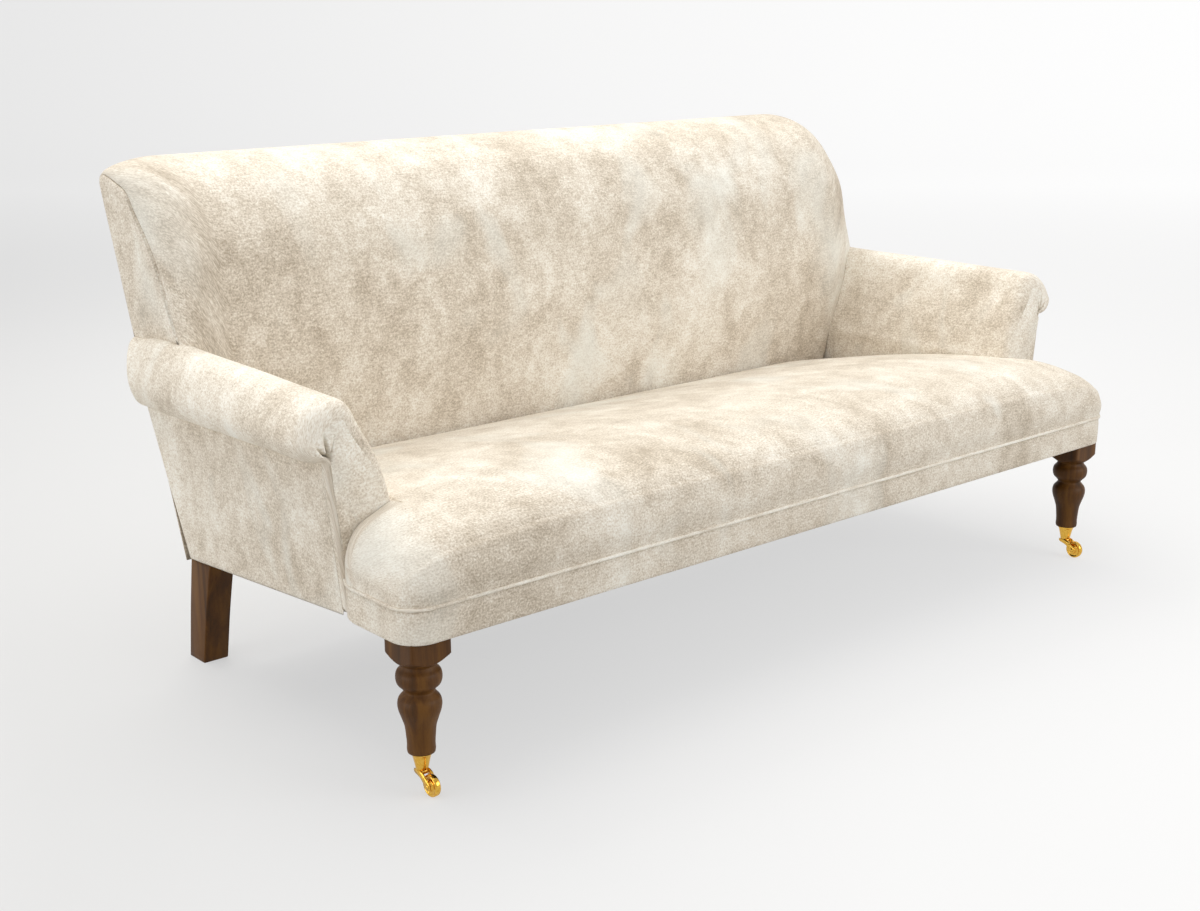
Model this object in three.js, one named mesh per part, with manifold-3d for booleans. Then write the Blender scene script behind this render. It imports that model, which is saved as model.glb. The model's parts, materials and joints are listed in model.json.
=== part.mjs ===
// English roll arm sofa: a sprung hardwood frame, stuffed pads under tight cloth covers, turned front legs on
// brass castors and swept rear legs. Millimetres, +Z up, the front looks towards -Y, left is -X.
// All is laid out from the front leg axes, where y is 0, and moved to the middle of the footprint at the end.
import * as THREE from "three";
import { mergeVertices } from "three/addons/utils/BufferGeometryUtils.js";
import Module from "manifold-3d";

const wasm = await Module();
wasm.setup();

// Fits
const gap = 0.3; // air between pieces that touch
const cloth = 2.2; // upholstery cloth with its lining
const overrun = 40; // how far a cutting solid runs past what it cuts

// Heights, added up from the floor
const wheelR = 17.7;
const castorH = 30.9; // from the top of the wheel to the foot of the turned leg
const legTurnH = 141.7;
const legBlockH = 47.2;
const borderH = 54.5;
const crownH = 125; // from the piping up to the crest of the seat
const seatFall = 80; // the seat falls this much from its crest to the back
const seatSideDrop = 14; // the crown is this much lower beside the arms
const shoulderDrop = 19; // the inner face of an arm is upright up to this much under the crest
const armRollH = 172.6;
const armTuckDrop = 90.4; // from the ridge of the roll down to the tuck under it
const armRidgeRise = 8.7; // the ridge rises this much towards the rear
const armTuckFall = 29.6; // the tuck falls this much towards the rear
const backRise = 459; // from the crest of the seat to the top of the back
const backFootDrop = 10; // the inside back tucks down this much under the piping line
const armUnderDrop = 5; // the outside arm hangs this much under the rail at its front

const legFootZ = 2 * wheelR + castorH;
const legBlockZ = legFootZ + legTurnH;
const railBaseZ = legBlockZ + legBlockH + gap; // underside of the front rail and lower edge of the border
const weltZ = railBaseZ + borderH; // line of the piping over the border
const seatCrestZ = weltZ + crownH;
const seatRearZ = seatCrestZ - seatFall;
const armShoulderZ = seatCrestZ - shoulderDrop;
const armRidgeZ = armShoulderZ + armRollH;
const armTuckZ = armRidgeZ - armTuckDrop;
const backTopZ = seatCrestZ + backRise;
const backFootZ = weltZ - backFootDrop;
const armUnderZ = railBaseZ - armUnderDrop;
const armUnderSlopeShare = 0.0925; // the lower edge of the outside arm falls towards the rear

// Widths, from the middle outwards
const armInnerX = 780; // half the seat between the arms
const wingReach = 109; // the seat front reaches this far in front of an arm
const armPanelOut = 118; // from the inner face of an arm to the tuck, where the pleats gather
const armFootOut = 92;
const armRollOut = 164;
const backOverArm = 82; // the ends of the back lie this far over the arms

const seatHalf = armInnerX + wingReach;
const armTuckX = armInnerX + armPanelOut;
const armPanelFootX = armInnerX + armFootOut;
const armRollOutX = armInnerX + armRollOut;
const backHalf = armInnerX + backOverArm;

// Depths, from the front leg axes
const noseOverhang = 49.4; // front face of the seat and its border
const wingDepth = 188.1;
const wingRearIn = 15; // the side of a wing runs in this much, to end flush with the arm
const wingRearRun = 45;
const crestSetback = 153.4;
const seatDepth = 485; // from the arm fronts to the most forward line of the inside back
const seatTuck = 12; // the seat runs on this far under the back
const backDepth = 297; // from the most forward line of the inside back to the rear of its top
const rearKneeIn = 10.1; // the rear plane ends this far inside the rear of the top
const rearLeanShare = 0.355; // how far the rear plane leans back, as a share of the height

const noseY = -noseOverhang;
const wingRearY = noseY + wingDepth;
const armFrontY = wingRearY + gap;
const seatCrestY = noseY + crestSetback;
const backFaceY = armFrontY + seatDepth;
const seatRearY = backFaceY + seatTuck;

// Edges of the upholstery
const noseRadius = 46.8; // plan radius of the front corners
const weltRadius = 2.6;
const wingEndRise = 28; // upright wall at the end of a wing, over the piping
const armEdge = 12; // round edge of the arm front at its foot
const armTopEdge = 36; // the edge grows to this round the roll
const armToeInShare = 0.247; // the roll narrows by this share at its rear
const armFootToeInShare = 0.2;
const armStuffing = 34;
const armFrontStuffing = 19;

// Frame timber
const railT = 28;
const railH = 62;
const railSetback = 6; // from the stuffing of an arm to the side rail
const blockEnd = 20.5; // the front blocks end this far before the arm fronts
const blockProud = 3.8; // a front block is this much wider than the leg under it
const sideRailLift = 3; // the side rails lie this much over the lower edge of the outside arm
const rearBlockD = 60;
const postW = 37;
const postInset = 14; // from the end of the back to the post
const postD = 42;
const topRailH = 48;
const lowerRailDrop = 10; // the lower rail starts this much under the inside back
const lowerRailH = 50;
const stileHalf = 22;
const armPostW = 40;
const armRailH = 24;
const armRailDrop = 15.8; // from the tuck down to the underside of the arm's top rail
const armRailInset = 12;

const sideRailStartY = armFrontY - blockEnd;
const sideRailInX = armInnerX + armStuffing + railSetback;
const postOutX = backHalf - postInset;
const postInX = postOutX - postW;
const lowerRailZ = backFootZ - lowerRailDrop;
const armRailZ = armTuckZ - armRailDrop;
const armRailInX = sideRailInX;
const armRailOutX = armTuckX - armRailInset; // outer edge at the front, where the arm is widest

// Springs and webbing
const springCount = 6;
const springWaveCount = 11;
const springWire = 4;
const springSwing = 24; // half width of a serpentine spring
const tieWire = 3;
const webCount = 4;
const webWidth = 50;
const webThick = 2.5;
const dustThick = 1.2;

// Legs
const legBlock = 72.4;
const legInset = 49;
const legTurnR = 35.4;
const rearLegW = 49;
const rearLegProud = 13; // a rear leg stands this far inside the post over it
const rearLegTopD = 69;
const rearFootBack = 48; // the foot stands this far behind the top of a rear leg
const rearFootD = 54;

const legX = seatHalf - legInset;
const blockInX = legX - legBlock / 2 - blockProud;
const rearLegX = postInX - rearLegProud; // inner face of a rear leg

// Castors
const wheelHalf = 6.5;
const hubR = 7;
const trail = 24.4; // the wheel runs this far in front of the swivel
const axleR = 2.9;
const axleFit = 0.25;
const plateT = 2.4;
const plateFit = 0.45;
const cupTopR = 16.3;
const cupFootR = 9.6;
const wheelTopFit = 2; // from the top of the wheel to the foot of the cup
const forkCrownT = 6.1;
const stemR = 4;
const stemH = 14.6;

const cupFootZ = 2 * wheelR + wheelTopFit;
const stemTopZ = cupFootZ + stemH;
const crownZ = cupFootZ - gap - forkCrownT;
const wheelChord = Math.sqrt((wheelR + 2 * gap) ** 2 - (crownZ - wheelR) ** 2);
const crownFrontY = wheelChord - trail; // the fork's crown stays clear of the wheel

// Finishes
const clothPile = new THREE.MeshStandardMaterial({ color: 0xd9cfbe, roughness: 0.9 });
const wadding = new THREE.MeshStandardMaterial({ color: 0xe9e5d8, roughness: 1 });
const walnut = new THREE.MeshStandardMaterial({ color: 0x4d3020, roughness: 0.45 });
const beech = new THREE.MeshStandardMaterial({ color: 0xc9a577, roughness: 0.7 });
const brass = new THREE.MeshStandardMaterial({ color: 0xd8a63c, roughness: 0.25, metalness: 1 });
const wire = new THREE.MeshStandardMaterial({ color: 0x8d9196, roughness: 0.4, metalness: 1 });
const jute = new THREE.MeshStandardMaterial({ color: 0xa98d62, roughness: 1 });
const blackCloth = new THREE.MeshStandardMaterial({ color: 0x2a2a2c, roughness: 1 });

const sofa = new THREE.Group();

function add(name, geometry, material) {
  const mesh = new THREE.Mesh(geometry, material);
  mesh.name = name;
  sofa.add(mesh);
}

// The left side is the mirror image of the right
function mirrored(geometry) {
  const copy = geometry.index ? geometry.toNonIndexed() : geometry.clone();
  copy.scale(-1, 1, 1);
  const place = copy.attributes.position;
  for (let i = 0; i < place.count; i += 3) {
    const [x, y, z] = [place.getX(i), place.getY(i), place.getZ(i)];
    place.setXYZ(i, place.getX(i + 1), place.getY(i + 1), place.getZ(i + 1));
    place.setXYZ(i + 1, x, y, z);
  }
  copy.deleteAttribute("normal");
  copy.deleteAttribute("uv");
  return copy;
}

function addPair(name, geometry, material) {
  add(name + "_right", geometry, material);
  add(name + "_left", mirrored(geometry), material);
}

// Solids for cutting and joining
function toSolid(geometry) {
  const bare = geometry.clone();
  bare.deleteAttribute("normal");
  bare.deleteAttribute("uv");
  const merged = mergeVertices(bare);
  const mesh = { numProp: 3, vertProperties: merged.attributes.position.array, triVerts: merged.index.array };
  return new wasm.Manifold(new wasm.Mesh(mesh));
}

function toGeometry(solid) {
  const mesh = solid.getMesh();
  const geometry = new THREE.BufferGeometry();
  geometry.setAttribute("position", new THREE.BufferAttribute(mesh.vertProperties, 3));
  geometry.setIndex(new THREE.BufferAttribute(mesh.triVerts, 1));
  return geometry;
}

// The largest body of a cut solid, without the crumbs of a cut
function mainBody(solid) {
  const bodies = solid.decompose();
  bodies.sort((a, b) => b.volume() - a.volume());
  return bodies[0];
}

function cut(from, ...tools) {
  return tools.reduce((left, tool) => left.subtract(tool), from);
}

const axisX = new THREE.Vector3(1, 0, 0);
const axisY = new THREE.Vector3(0, 1, 0);
const axisZ = new THREE.Vector3(0, 0, 1);

// A straight piece with one outline: along X it is drawn in Y and Z, along Y in X and Z, along Z in X and Y
function prism(axis, outline, from, to, hole) {
  const shape = new THREE.Shape(outline.map(([a, b]) => new THREE.Vector2(a, b)));
  if (hole) shape.holes.push(hole);
  const settings = { depth: to - from, bevelEnabled: false, curveSegments: 6 };
  const geometry = new THREE.ExtrudeGeometry(shape, settings);
  if (axis === "y") {
    geometry.translate(0, 0, -to);
    geometry.applyMatrix4(new THREE.Matrix4().makeBasis(axisX, axisZ, axisY.clone().negate()));
    return geometry;
  }
  geometry.translate(0, 0, from);
  if (axis === "x") geometry.applyMatrix4(new THREE.Matrix4().makeBasis(axisY, axisZ, axisX));
  return geometry;
}

function rectangle(a0, a1, b0, b1) {
  return [[a0, b0], [a1, b0], [a1, b1], [a0, b1]];
}

// A closed skin through rings of points, with flat or nearly flat ends drawn in the two named coordinates
function loft(rings, u, v) {
  const count = rings[0].length;
  const index = [];
  for (let r = 0; r + 1 < rings.length; r += 1) {
    for (let i = 0; i < count; i += 1) {
      const j = (i + 1) % count;
      const [a, b, c, d] = [r * count + i, r * count + j, (r + 1) * count + j, (r + 1) * count + i];
      index.push(a, b, c, a, c, d);
    }
  }
  const last = (rings.length - 1) * count;
  for (const [a, b, c] of capOf(rings[0], u, v)) index.push(a, c, b);
  for (const [a, b, c] of capOf(rings.at(-1), u, v)) index.push(last + a, last + b, last + c);
  const geometry = new THREE.BufferGeometry();
  geometry.setAttribute("position", new THREE.Float32BufferAttribute(rings.flat(2), 3));
  geometry.setIndex(index);
  if (signedVolume(geometry) < 0) geometry.setIndex(flipped(index));
  return geometry;
}

// Triangles over a flat ring, turning the way the ring runs
function capOf(ring, u, v) {
  const flat = ring.map((p) => new THREE.Vector2(p[u], p[v]));
  const ringArea = THREE.ShapeUtils.area(flat);
  return THREE.ShapeUtils.triangulateShape(flat, []).map(([a, b, c]) => {
    const same = THREE.ShapeUtils.area([flat[a], flat[b], flat[c]]) * ringArea > 0;
    return same ? [a, b, c] : [a, c, b];
  });
}

function flipped(index) {
  const turned = [];
  for (let i = 0; i < index.length; i += 3) turned.push(index[i], index[i + 2], index[i + 1]);
  return turned;
}

function signedVolume(geometry) {
  const place = geometry.attributes.position;
  const corner = (i) => new THREE.Vector3().fromBufferAttribute(place, geometry.index.getX(i));
  let volume = 0;
  for (let i = 0; i < geometry.index.count; i += 3) {
    volume += corner(i).dot(corner(i + 1).cross(corner(i + 2)));
  }
  return volume;
}

// The outline moved inwards by a distance, or by one for each point, with mitred corners
function inset(outline, distance) {
  const points = outline.map(([a, b]) => new THREE.Vector2(a, b));
  const side = THREE.ShapeUtils.isClockWise(points) ? -1 : 1;
  return points.map((p, i) => {
    const before = p.clone().sub(points[(i + points.length - 1) % points.length]).normalize();
    const after = points[(i + 1) % points.length].clone().sub(p).normalize();
    const normal = new THREE.Vector2(-before.y - after.y, before.x + after.x).normalize();
    const far = Array.isArray(distance) ? distance[i] : distance;
    const mitre = (side * far) / Math.max(Math.abs(normal.x * -before.y + normal.y * before.x), 1 / 2);
    return [p.x + normal.x * mitre, p.y + normal.y * mitre];
  });
}

const mix = (a, b, share) => a + (b - a) * share;
const smooth = (share) => share * share * (3 - 2 * share);
const clampShare = (value) => Math.min(Math.max(value, 0), 1);

// Planes that several pieces follow
const kneeShare = 0.87; // the rear plane ends here, under the upright rear of the top
const backKneeZ = mix(backFootZ, backTopZ, kneeShare);
const rearKneeY = backFaceY + backDepth - rearKneeIn;
const rearY = (z) => rearKneeY - rearLeanShare * (backKneeZ - z);
const postTopZ = backKneeZ - cloth - 2 * gap;
const rearInnerY = (z) => rearY(z) - cloth - gap;
const postFrontY = (z) => rearInnerY(z) - postD;
const padRearY = (z) => postFrontY(z) - webThick - 2 * gap;
const underZ = (y) => armUnderZ - armUnderSlopeShare * (y - armFrontY);
const sideRailZ = (y) => underZ(y) + sideRailLift;
const leaning = (from, to, z0, z1) => [[from(z0), z0], [to(z0), z0], [to(z1), z1], [from(z1), z1]];

// Seat: the crown's side view, from the piping up over the nose to the crest and down to the back
const noseBulgeShare = 0.03;
const noseShares = [
  [0, 0], [-noseBulgeShare, 0.26], [0.015, 0.56], [0.1, 0.72], [0.2, 0.82], [0.46, 0.93], [1, 1],
];
const runShares = [[0, 0], [0.22, 0.08], [0.5, 0.33], [0.77, 0.66], [1, 1]];
const wingShares = [0, 0.4, 0.75, 1]; // stations from the arm line to the rounded corner
const cornerCount = 5;
const seatInnerHalf = armInnerX - gap;
const inchShare = 0.002; // the wing starts in one short step
const wingFallShares = [
  [0, 1], [0.2, 0.98], [0.4, 0.91], [0.57, 0.81], [0.72, 0.69], [0.83, 0.54], [0.92, 0.35], [0.98, 0.12],
  [1, 0],
]; // height of the wing over its end wall, from the arm line outwards
const wingRearDrop = 12; // the wing rolls down to the arm front
const wingRollShare = 0.5;
const noseFootZ = weltZ + weltRadius + gap; // the seat cover starts over the piping

// The value of a table of shares at a place between its rows
function between(shares, place) {
  let [s0, d0] = shares[0];
  for (const [s1, d1] of shares) {
    if (place <= s1) return s1 > s0 ? mix(d0, d1, (place - s0) / (s1 - s0)) : d1;
    [s0, d0] = [s1, d1];
  }
  return d0;
}

// One cut through the seat at x, shrunk all round, down to a flat foot
function seatRing(x, wing, shrink, footZ) {
  const half = seatHalf - shrink;
  const radius = noseRadius - shrink;
  const beyond = Math.max(Math.abs(x) - (half - radius), 0);
  const frontY = noseY + shrink + radius - Math.sqrt(Math.max(radius * radius - beyond * beyond, 0));
  const wingShare = clampShare((Math.abs(x) - seatInnerHalf) / (half - seatInnerHalf));
  const sideShare = clampShare((Math.abs(x) / seatInnerHalf - 3 / 4) * 4);
  const crest = seatCrestZ - shrink - seatSideDrop * smooth(sideShare);
  const rise = mix(wingEndRise, crest - noseFootZ, between(wingFallShares, wingShare));
  const outer = clampShare((Math.abs(x) - half + wingRearIn) / wingRearIn);
  const rearRun = wingRearRun * (1 - Math.sqrt(1 - outer));
  const endY = (wing ? wingRearY - rearRun : seatRearY) - shrink;
  const crestY = Math.min(seatCrestY, endY - shrink - gap);
  const ring = noseShares.map(([s, h]) => [x, mix(frontY, crestY, s), noseFootZ + rise * h]);
  const wingRun = (wingRearY - seatCrestY) / (seatRearY - seatCrestY);
  for (const [s] of runShares.slice(1)) {
    const drop = seatFall * between(runShares, wing ? s * wingRun : s) * (1 - wingShare);
    const roll = wing && wingShare < 1 ? wingRearDrop * s * smooth(clampShare(wingShare / wingRollShare)) : 0;
    ring.push([x, mix(crestY, endY, s), noseFootZ + rise - drop - roll * (1 - outer)]);
  }
  ring.push([x, endY, footZ], [x, frontY, footZ]);
  return ring;
}

const seatSideShares = [0.35, 0.7, 0.86, 1];

function seatLoft(shrink, footZ) {
  const inner = seatInnerHalf - shrink;
  const corner = seatHalf - noseRadius;
  const full = seatSideShares.map((s) => seatRing(inner * s, false, shrink, footZ));
  const flat = wingShares
    .map((s) => mix(inner, corner, Math.max(s, inchShare)))
    .map((x) => seatRing(x, true, shrink, footZ));
  const rights = [...full, ...flat];
  for (let i = 1; i <= cornerCount; i += 1) {
    const x = corner + (noseRadius - shrink) * Math.sin((i / cornerCount) * (Math.PI / 2));
    rights.push(seatRing(x, true, shrink, footZ));
  }
  const lefts = rights.map((ring) => ring.map(([x, y, z]) => [-x, y, z])).reverse();
  return loft([...lefts, seatRing(0, false, shrink, footZ), ...rights], 1, 2);
}

// The springs lie straight from the front rail to the rear rail
const frontRailY = noseY + cloth + gap;
const frontRailTopZ = railBaseZ + railH;
const rearRailZ = sideRailZ(rearInnerY(sideRailZ(seatRearY)));
const rearRailTopZ = rearRailZ + railH;
const rearRailFrontY = rearInnerY(rearRailZ) - railT;
const springRearY = rearInnerY(rearRailTopZ) - railT / 2;
const springFrontY = frontRailY + railT;
const springSlope = (frontRailTopZ - rearRailTopZ) / (springRearY - springFrontY);
const springZ = (y) => frontRailTopZ + gap + springWire / 2 - springSlope * (y - springFrontY);
const deckZ = (y) => springZ(y) + springWire / 2 + gap;

// Inside back: side view from its foot up the face, over the top and down to the rear plane
const backShares = [
  [0.054, 0], [0.049, 0.074], [0, 0.375], [0.003, 0.497], [0.034, 0.633], [0.074, 0.764], [0.172, 0.845],
  [0.327, 0.929], [0.502, 0.975], [0.694, 1], [0.86, 1], [0.965, 0.98], [1, 0.945], [1, kneeShare],
];
const backEndShares = [
  [0.12, 0], [0.12, 0.074], [0.07, 0.375], [0.104, 0.497], [0.209, 0.606], [0.3, 0.699], [0.431, 0.788],
  [0.566, 0.862], [0.643, 0.909], [0.781, 0.936], [0.879, 0.949], [0.946, 0.953], [0.99, 0.94],
  [1, kneeShare],
];

const backSideShares = [0.35, 0.66, 0.82];
const backEndRun = backOverArm + cloth - gap; // the face rounds back over this width
const backRoundShares = [0, 0.3, 0.55, 0.75, 0.9, 1];

function backRing(x, shrink, footZ) {
  const start = backHalf - backEndRun;
  const turn = clampShare((Math.abs(x) - start) / (backEndRun - shrink));
  const round = 1 - Math.sqrt(Math.max(1 - turn * turn, 0));
  const outline = backShares.map(([s, h], i) => {
    const [endS, endH] = backEndShares[i];
    const z = mix(backFootZ, backTopZ, mix(h, endH, round));
    return [i === backShares.length - 1 ? rearY(z) : backFaceY + backDepth * mix(s, endS, round), z];
  });
  outline.push([rearY(backFootZ), backFootZ]);
  const moved = shrink !== 0 ? inset(outline, shrink) : outline;
  moved[0] = [moved[0][0], footZ];
  const last = moved.length - 1;
  moved[last] = [rearY(footZ) - shrink, footZ];
  return moved.map(([y, z]) => [x, y, z]);
}

function backLoft(shrink, footZ) {
  const start = backHalf - backEndRun;
  const half = backSideShares.map((s) => start * s);
  const round = backRoundShares.map((s) => start + (backEndRun - shrink) * s);
  const rights = [...half, ...round].map((x) => backRing(x, shrink, footZ));
  const lefts = rights.map((ring) => ring.map(([x, y, z]) => [-x, y, z])).reverse();
  return loft([...lefts, backRing(0, shrink, footZ), ...rights], 1, 2);
}

// Arm: the front view, as shares of the roll's width, of the height from the shoulder to the tuck, and of how
// far the round edge of the front has grown; then the same from the tuck over the ridge and round the roll
const armFaceShares = [[0, 0, 0], [0.012, 0.06, 0], [0.116, 0.874, 0.3]];
const rollShares = [
  [0.183, 0.153, 0.4], [0.31, 0.58, 0.6], [0.376, 0.83, 0.55], [0.445, 0.965, 0.6], [0.54, 1, 0.7],
  [0.68, 0.985, 0.8], [0.81, 0.88, 0.8], [0.92, 0.7, 0.7], [1, 0.42, 0.5], [0.985, 0.24, 0.3],
  [0.91, 0.07, 0.1], [0.8, 0, 0],
];
const armReachShares = [0.14, 0.3, 0.5, 0.7, 0.82, 0.9, 0.96, 1];
const armCloseShare = 0.8; // the roll starts to close here, as a share of the arm's length
const armEndDropShare = 0.3;
const armEndOpenShare = 0.73; // what is left of the roll where it ends at the rear

function armOutline(reach, footZ) {
  const narrow = 1 - armToeInShare * reach;
  const close = clampShare((reach - armCloseShare) / (1 - armCloseShare));
  const open = Math.max(Math.sqrt(1 - close * close), armEndOpenShare);
  const tuckX = armInnerX + armPanelOut * narrow;
  const tuckZ = armTuckZ - armTuckFall * reach;
  const ridgeZ = armRidgeZ + armRidgeRise * reach;
  const outline = [[armInnerX, footZ, 0]];
  for (const [s, h, grown] of armFaceShares) {
    outline.push([armInnerX + armRollOut * narrow * s, mix(armShoulderZ, tuckZ, h), grown]);
  }
  for (const [s, h, grown] of rollShares) {
    const wide = armInnerX + armRollOut * narrow * s;
    const x = wide > tuckX ? mix(tuckX, wide, open) : wide;
    outline.push([x, mix(tuckZ, ridgeZ, h * (1 - armEndDropShare * (1 - open))), grown]);
  }
  outline.push([tuckX, tuckZ, 0], [armInnerX + armFootOut * (1 - armFootToeInShare * reach), footZ, 0]);
  return outline;
}

function armRing(reach, edge, shrink, footZ) {
  const frontY = armFrontY + shrink;
  const outline = armOutline(reach, footZ);
  const edges = outline.map(([, , grown]) => mix(armEdge, armTopEdge, grown));
  const left = edge < 1 ? 1 - Math.sin((edge * Math.PI) / 2) : 0;
  const moved = inset(outline, edges.map((r) => shrink + r * left));
  const depth = edge < 1 ? 1 - Math.cos((edge * Math.PI) / 2) : 1;
  const endOf = (z) => rearInnerY(z) - shrink;
  const last = moved.length - 1;
  return moved.map(([x, z], i) => {
    const y = mix(frontY + edges[i] * depth, endOf(z), reach);
    const foot = i === 0 || i === last;
    return [x, y, foot ? Math.min(underZ(y), railBaseZ) : z];
  });
}

function armLoft(shrink) {
  const rings = [0, 1 / 3, 2 / 3].map((edge) => armRing(0, edge, shrink, armUnderZ));
  rings.push(armRing(0, 1, shrink, armUnderZ));
  for (const reach of armReachShares) rings.push(armRing(reach, 1, shrink, armUnderZ));
  return loft(rings, 0, 2);
}

const pastRearY = rearY(backTopZ) + overrun;
const pastTopZ = backTopZ + overrun;

// Space that the frame of the back needs behind the pads
const frameSpace = toSolid(prism(
  "x",
  [
    [padRearY(postTopZ + gap), postTopZ + gap], [padRearY(0), 0],
    [pastRearY, 0], [pastRearY, postTopZ + gap],
  ],
  -postOutX - gap,
  postOutX + gap,
));

const armFull = toSolid(armLoft(0));
const armSpace = toSolid(armLoft(-gap));
const armSpaceLeft = toSolid(mirrored(armLoft(-gap)));
const seatSpace = toSolid(seatLoft(-gap, 0));
const bothSides = (geometry) => toSolid(geometry).add(toSolid(mirrored(geometry)));

// Way for the side rails, through the rear of the seat wings and the lower end of the arm fronts
const railWay = bothSides(prism(
  "y",
  rectangle(armInnerX - overrun, sideRailInX + railT + gap, 0, frontRailTopZ + gap),
  sideRailStartY - gap,
  armFrontY + armEdge + armFrontStuffing,
));

function makeSeat() {
  const footCut = toSolid(prism(
    "x",
    rectangle(noseY - overrun, pastRearY, 0, noseFootZ),
    -armRollOutX,
    armRollOutX,
  ));
  const outer = toSolid(seatLoft(0, noseFootZ - overrun));
  const inner = toSolid(seatLoft(cloth, noseFootZ - 2 * overrun));
  add("seat_cover", toGeometry(mainBody(cut(outer, inner, footCut, railWay))), clothPile);
  const startY = noseY - overrun;
  const springSpace = toSolid(prism(
    "x",
    [[startY, 0], [pastRearY, 0], [pastRearY, deckZ(pastRearY)], [startY, deckZ(startY)]],
    -armInnerX,
    armInnerX,
  ));
  const blockSpace = bothSides(prism(
    "x",
    rectangle(startY, pastRearY, 0, frontRailTopZ + gap),
    armInnerX - gap,
    armRollOutX,
  ));
  const core = toSolid(seatLoft(cloth + 2 * gap, railBaseZ - overrun));
  add("seat_pad", toGeometry(mainBody(cut(core, springSpace, blockSpace))), wadding);
}

function makeBorder() {
  add("front_border", prism("z", bandOutline(0, cloth), railBaseZ, weltZ - weltRadius - gap), clothPile);
  const outline = uOutline(cloth - weltRadius);
  const sides = 8;
  const rings = outline.map(([x, y], i) => {
    const before = outline[Math.max(i - 1, 0)];
    const after = outline[Math.min(i + 1, outline.length - 1)];
    const along = new THREE.Vector2(after[0] - before[0], after[1] - before[1]).normalize();
    const ring = [];
    for (let k = 0; k < sides; k += 1) {
      const angle = (k / sides) * 2 * Math.PI;
      const out = weltRadius * Math.cos(angle);
      ring.push([x + along.y * out, y - along.x * out, weltZ + weltRadius * Math.sin(angle)]);
    }
    return ring;
  });
  add("seat_piping", loft(rings, 0, 2), clothPile);
}

// The rear end of a wing in plan, as shares of how far it runs in and of the run
const wingRearShares = [[1, 1], [1 / 4, 1 / 2], [0, 0]];

// The T front in plan, from the left arm round both corners to the right arm, moved inwards by a distance
function uOutline(distance) {
  const half = seatHalf - distance;
  const front = noseY + distance;
  const radius = noseRadius - distance;
  const points = wingRearShares.map(([s, t]) => [half - wingRearIn * s, wingRearY - wingRearRun * (1 - t)]);
  points.push([half, (wingRearY - wingRearRun + front + radius) / 2]);
  for (let i = 0; i <= cornerCount; i += 1) {
    const angle = (i / cornerCount) * (Math.PI / 2);
    const x = half - radius + radius * Math.cos(angle);
    points.push([x, front + radius - radius * Math.sin(angle)]);
  }
  points.push([half / 2, front]);
  const left = points.map(([x, y]) => [-x, y]);
  return [...left, [0, front], ...points.reverse()];
}

function bandOutline(outerInset, thickness) {
  return [...uOutline(outerInset), ...uOutline(outerInset + thickness).reverse()];
}

// Cuts that part the cloth of an arm into its cover and its outside panel
const panelStartY = armFrontY + armEdge;
const tuckEndY = rearInnerY(armTuckZ - armTuckFall);
const tuckSlope = armTuckFall / (tuckEndY - panelStartY);
const panelTopZ = (y) => armTuckZ - cloth - tuckSlope * (y - panelStartY);

const panelStations = [0, 1 / 4, 1 / 2, 3 / 4, 1]; // along the panel, as shares of its length
const panelRegion = toSolid(prism(
  "x",
  [
    [panelStartY, 0], [pastRearY, 0],
    [pastRearY, panelTopZ(pastRearY)], [panelStartY, panelTopZ(panelStartY)],
  ],
  armPanelFootX - armStuffing,
  armRollOutX,
));

// A point on the outside of an arm, at the head or the foot of the panel and this deep in the cloth
function outsidePoint(along, foot, depth, endOf) {
  const startY = panelStartY + gap;
  const footEndY = endOf(underZ(endOf(underZ(endOf(armUnderZ)))));
  const headEndY = endOf(panelTopZ(tuckEndY) - gap);
  const y = mix(startY, foot ? footEndY : headEndY, along);
  const footZ = Math.min(underZ(y), railBaseZ);
  const z = foot ? footZ : panelTopZ(y) - gap;
  const reach = (y - panelStartY) / (rearInnerY(z) - panelStartY);
  const footOut = armFootOut * (1 - armFootToeInShare * reach);
  const headOut = armPanelOut * (1 - armToeInShare * reach);
  return [armInnerX + mix(footOut, headOut, (z - footZ) / (panelTopZ(y) + cloth - footZ)) - depth, y, z];
}

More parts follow.
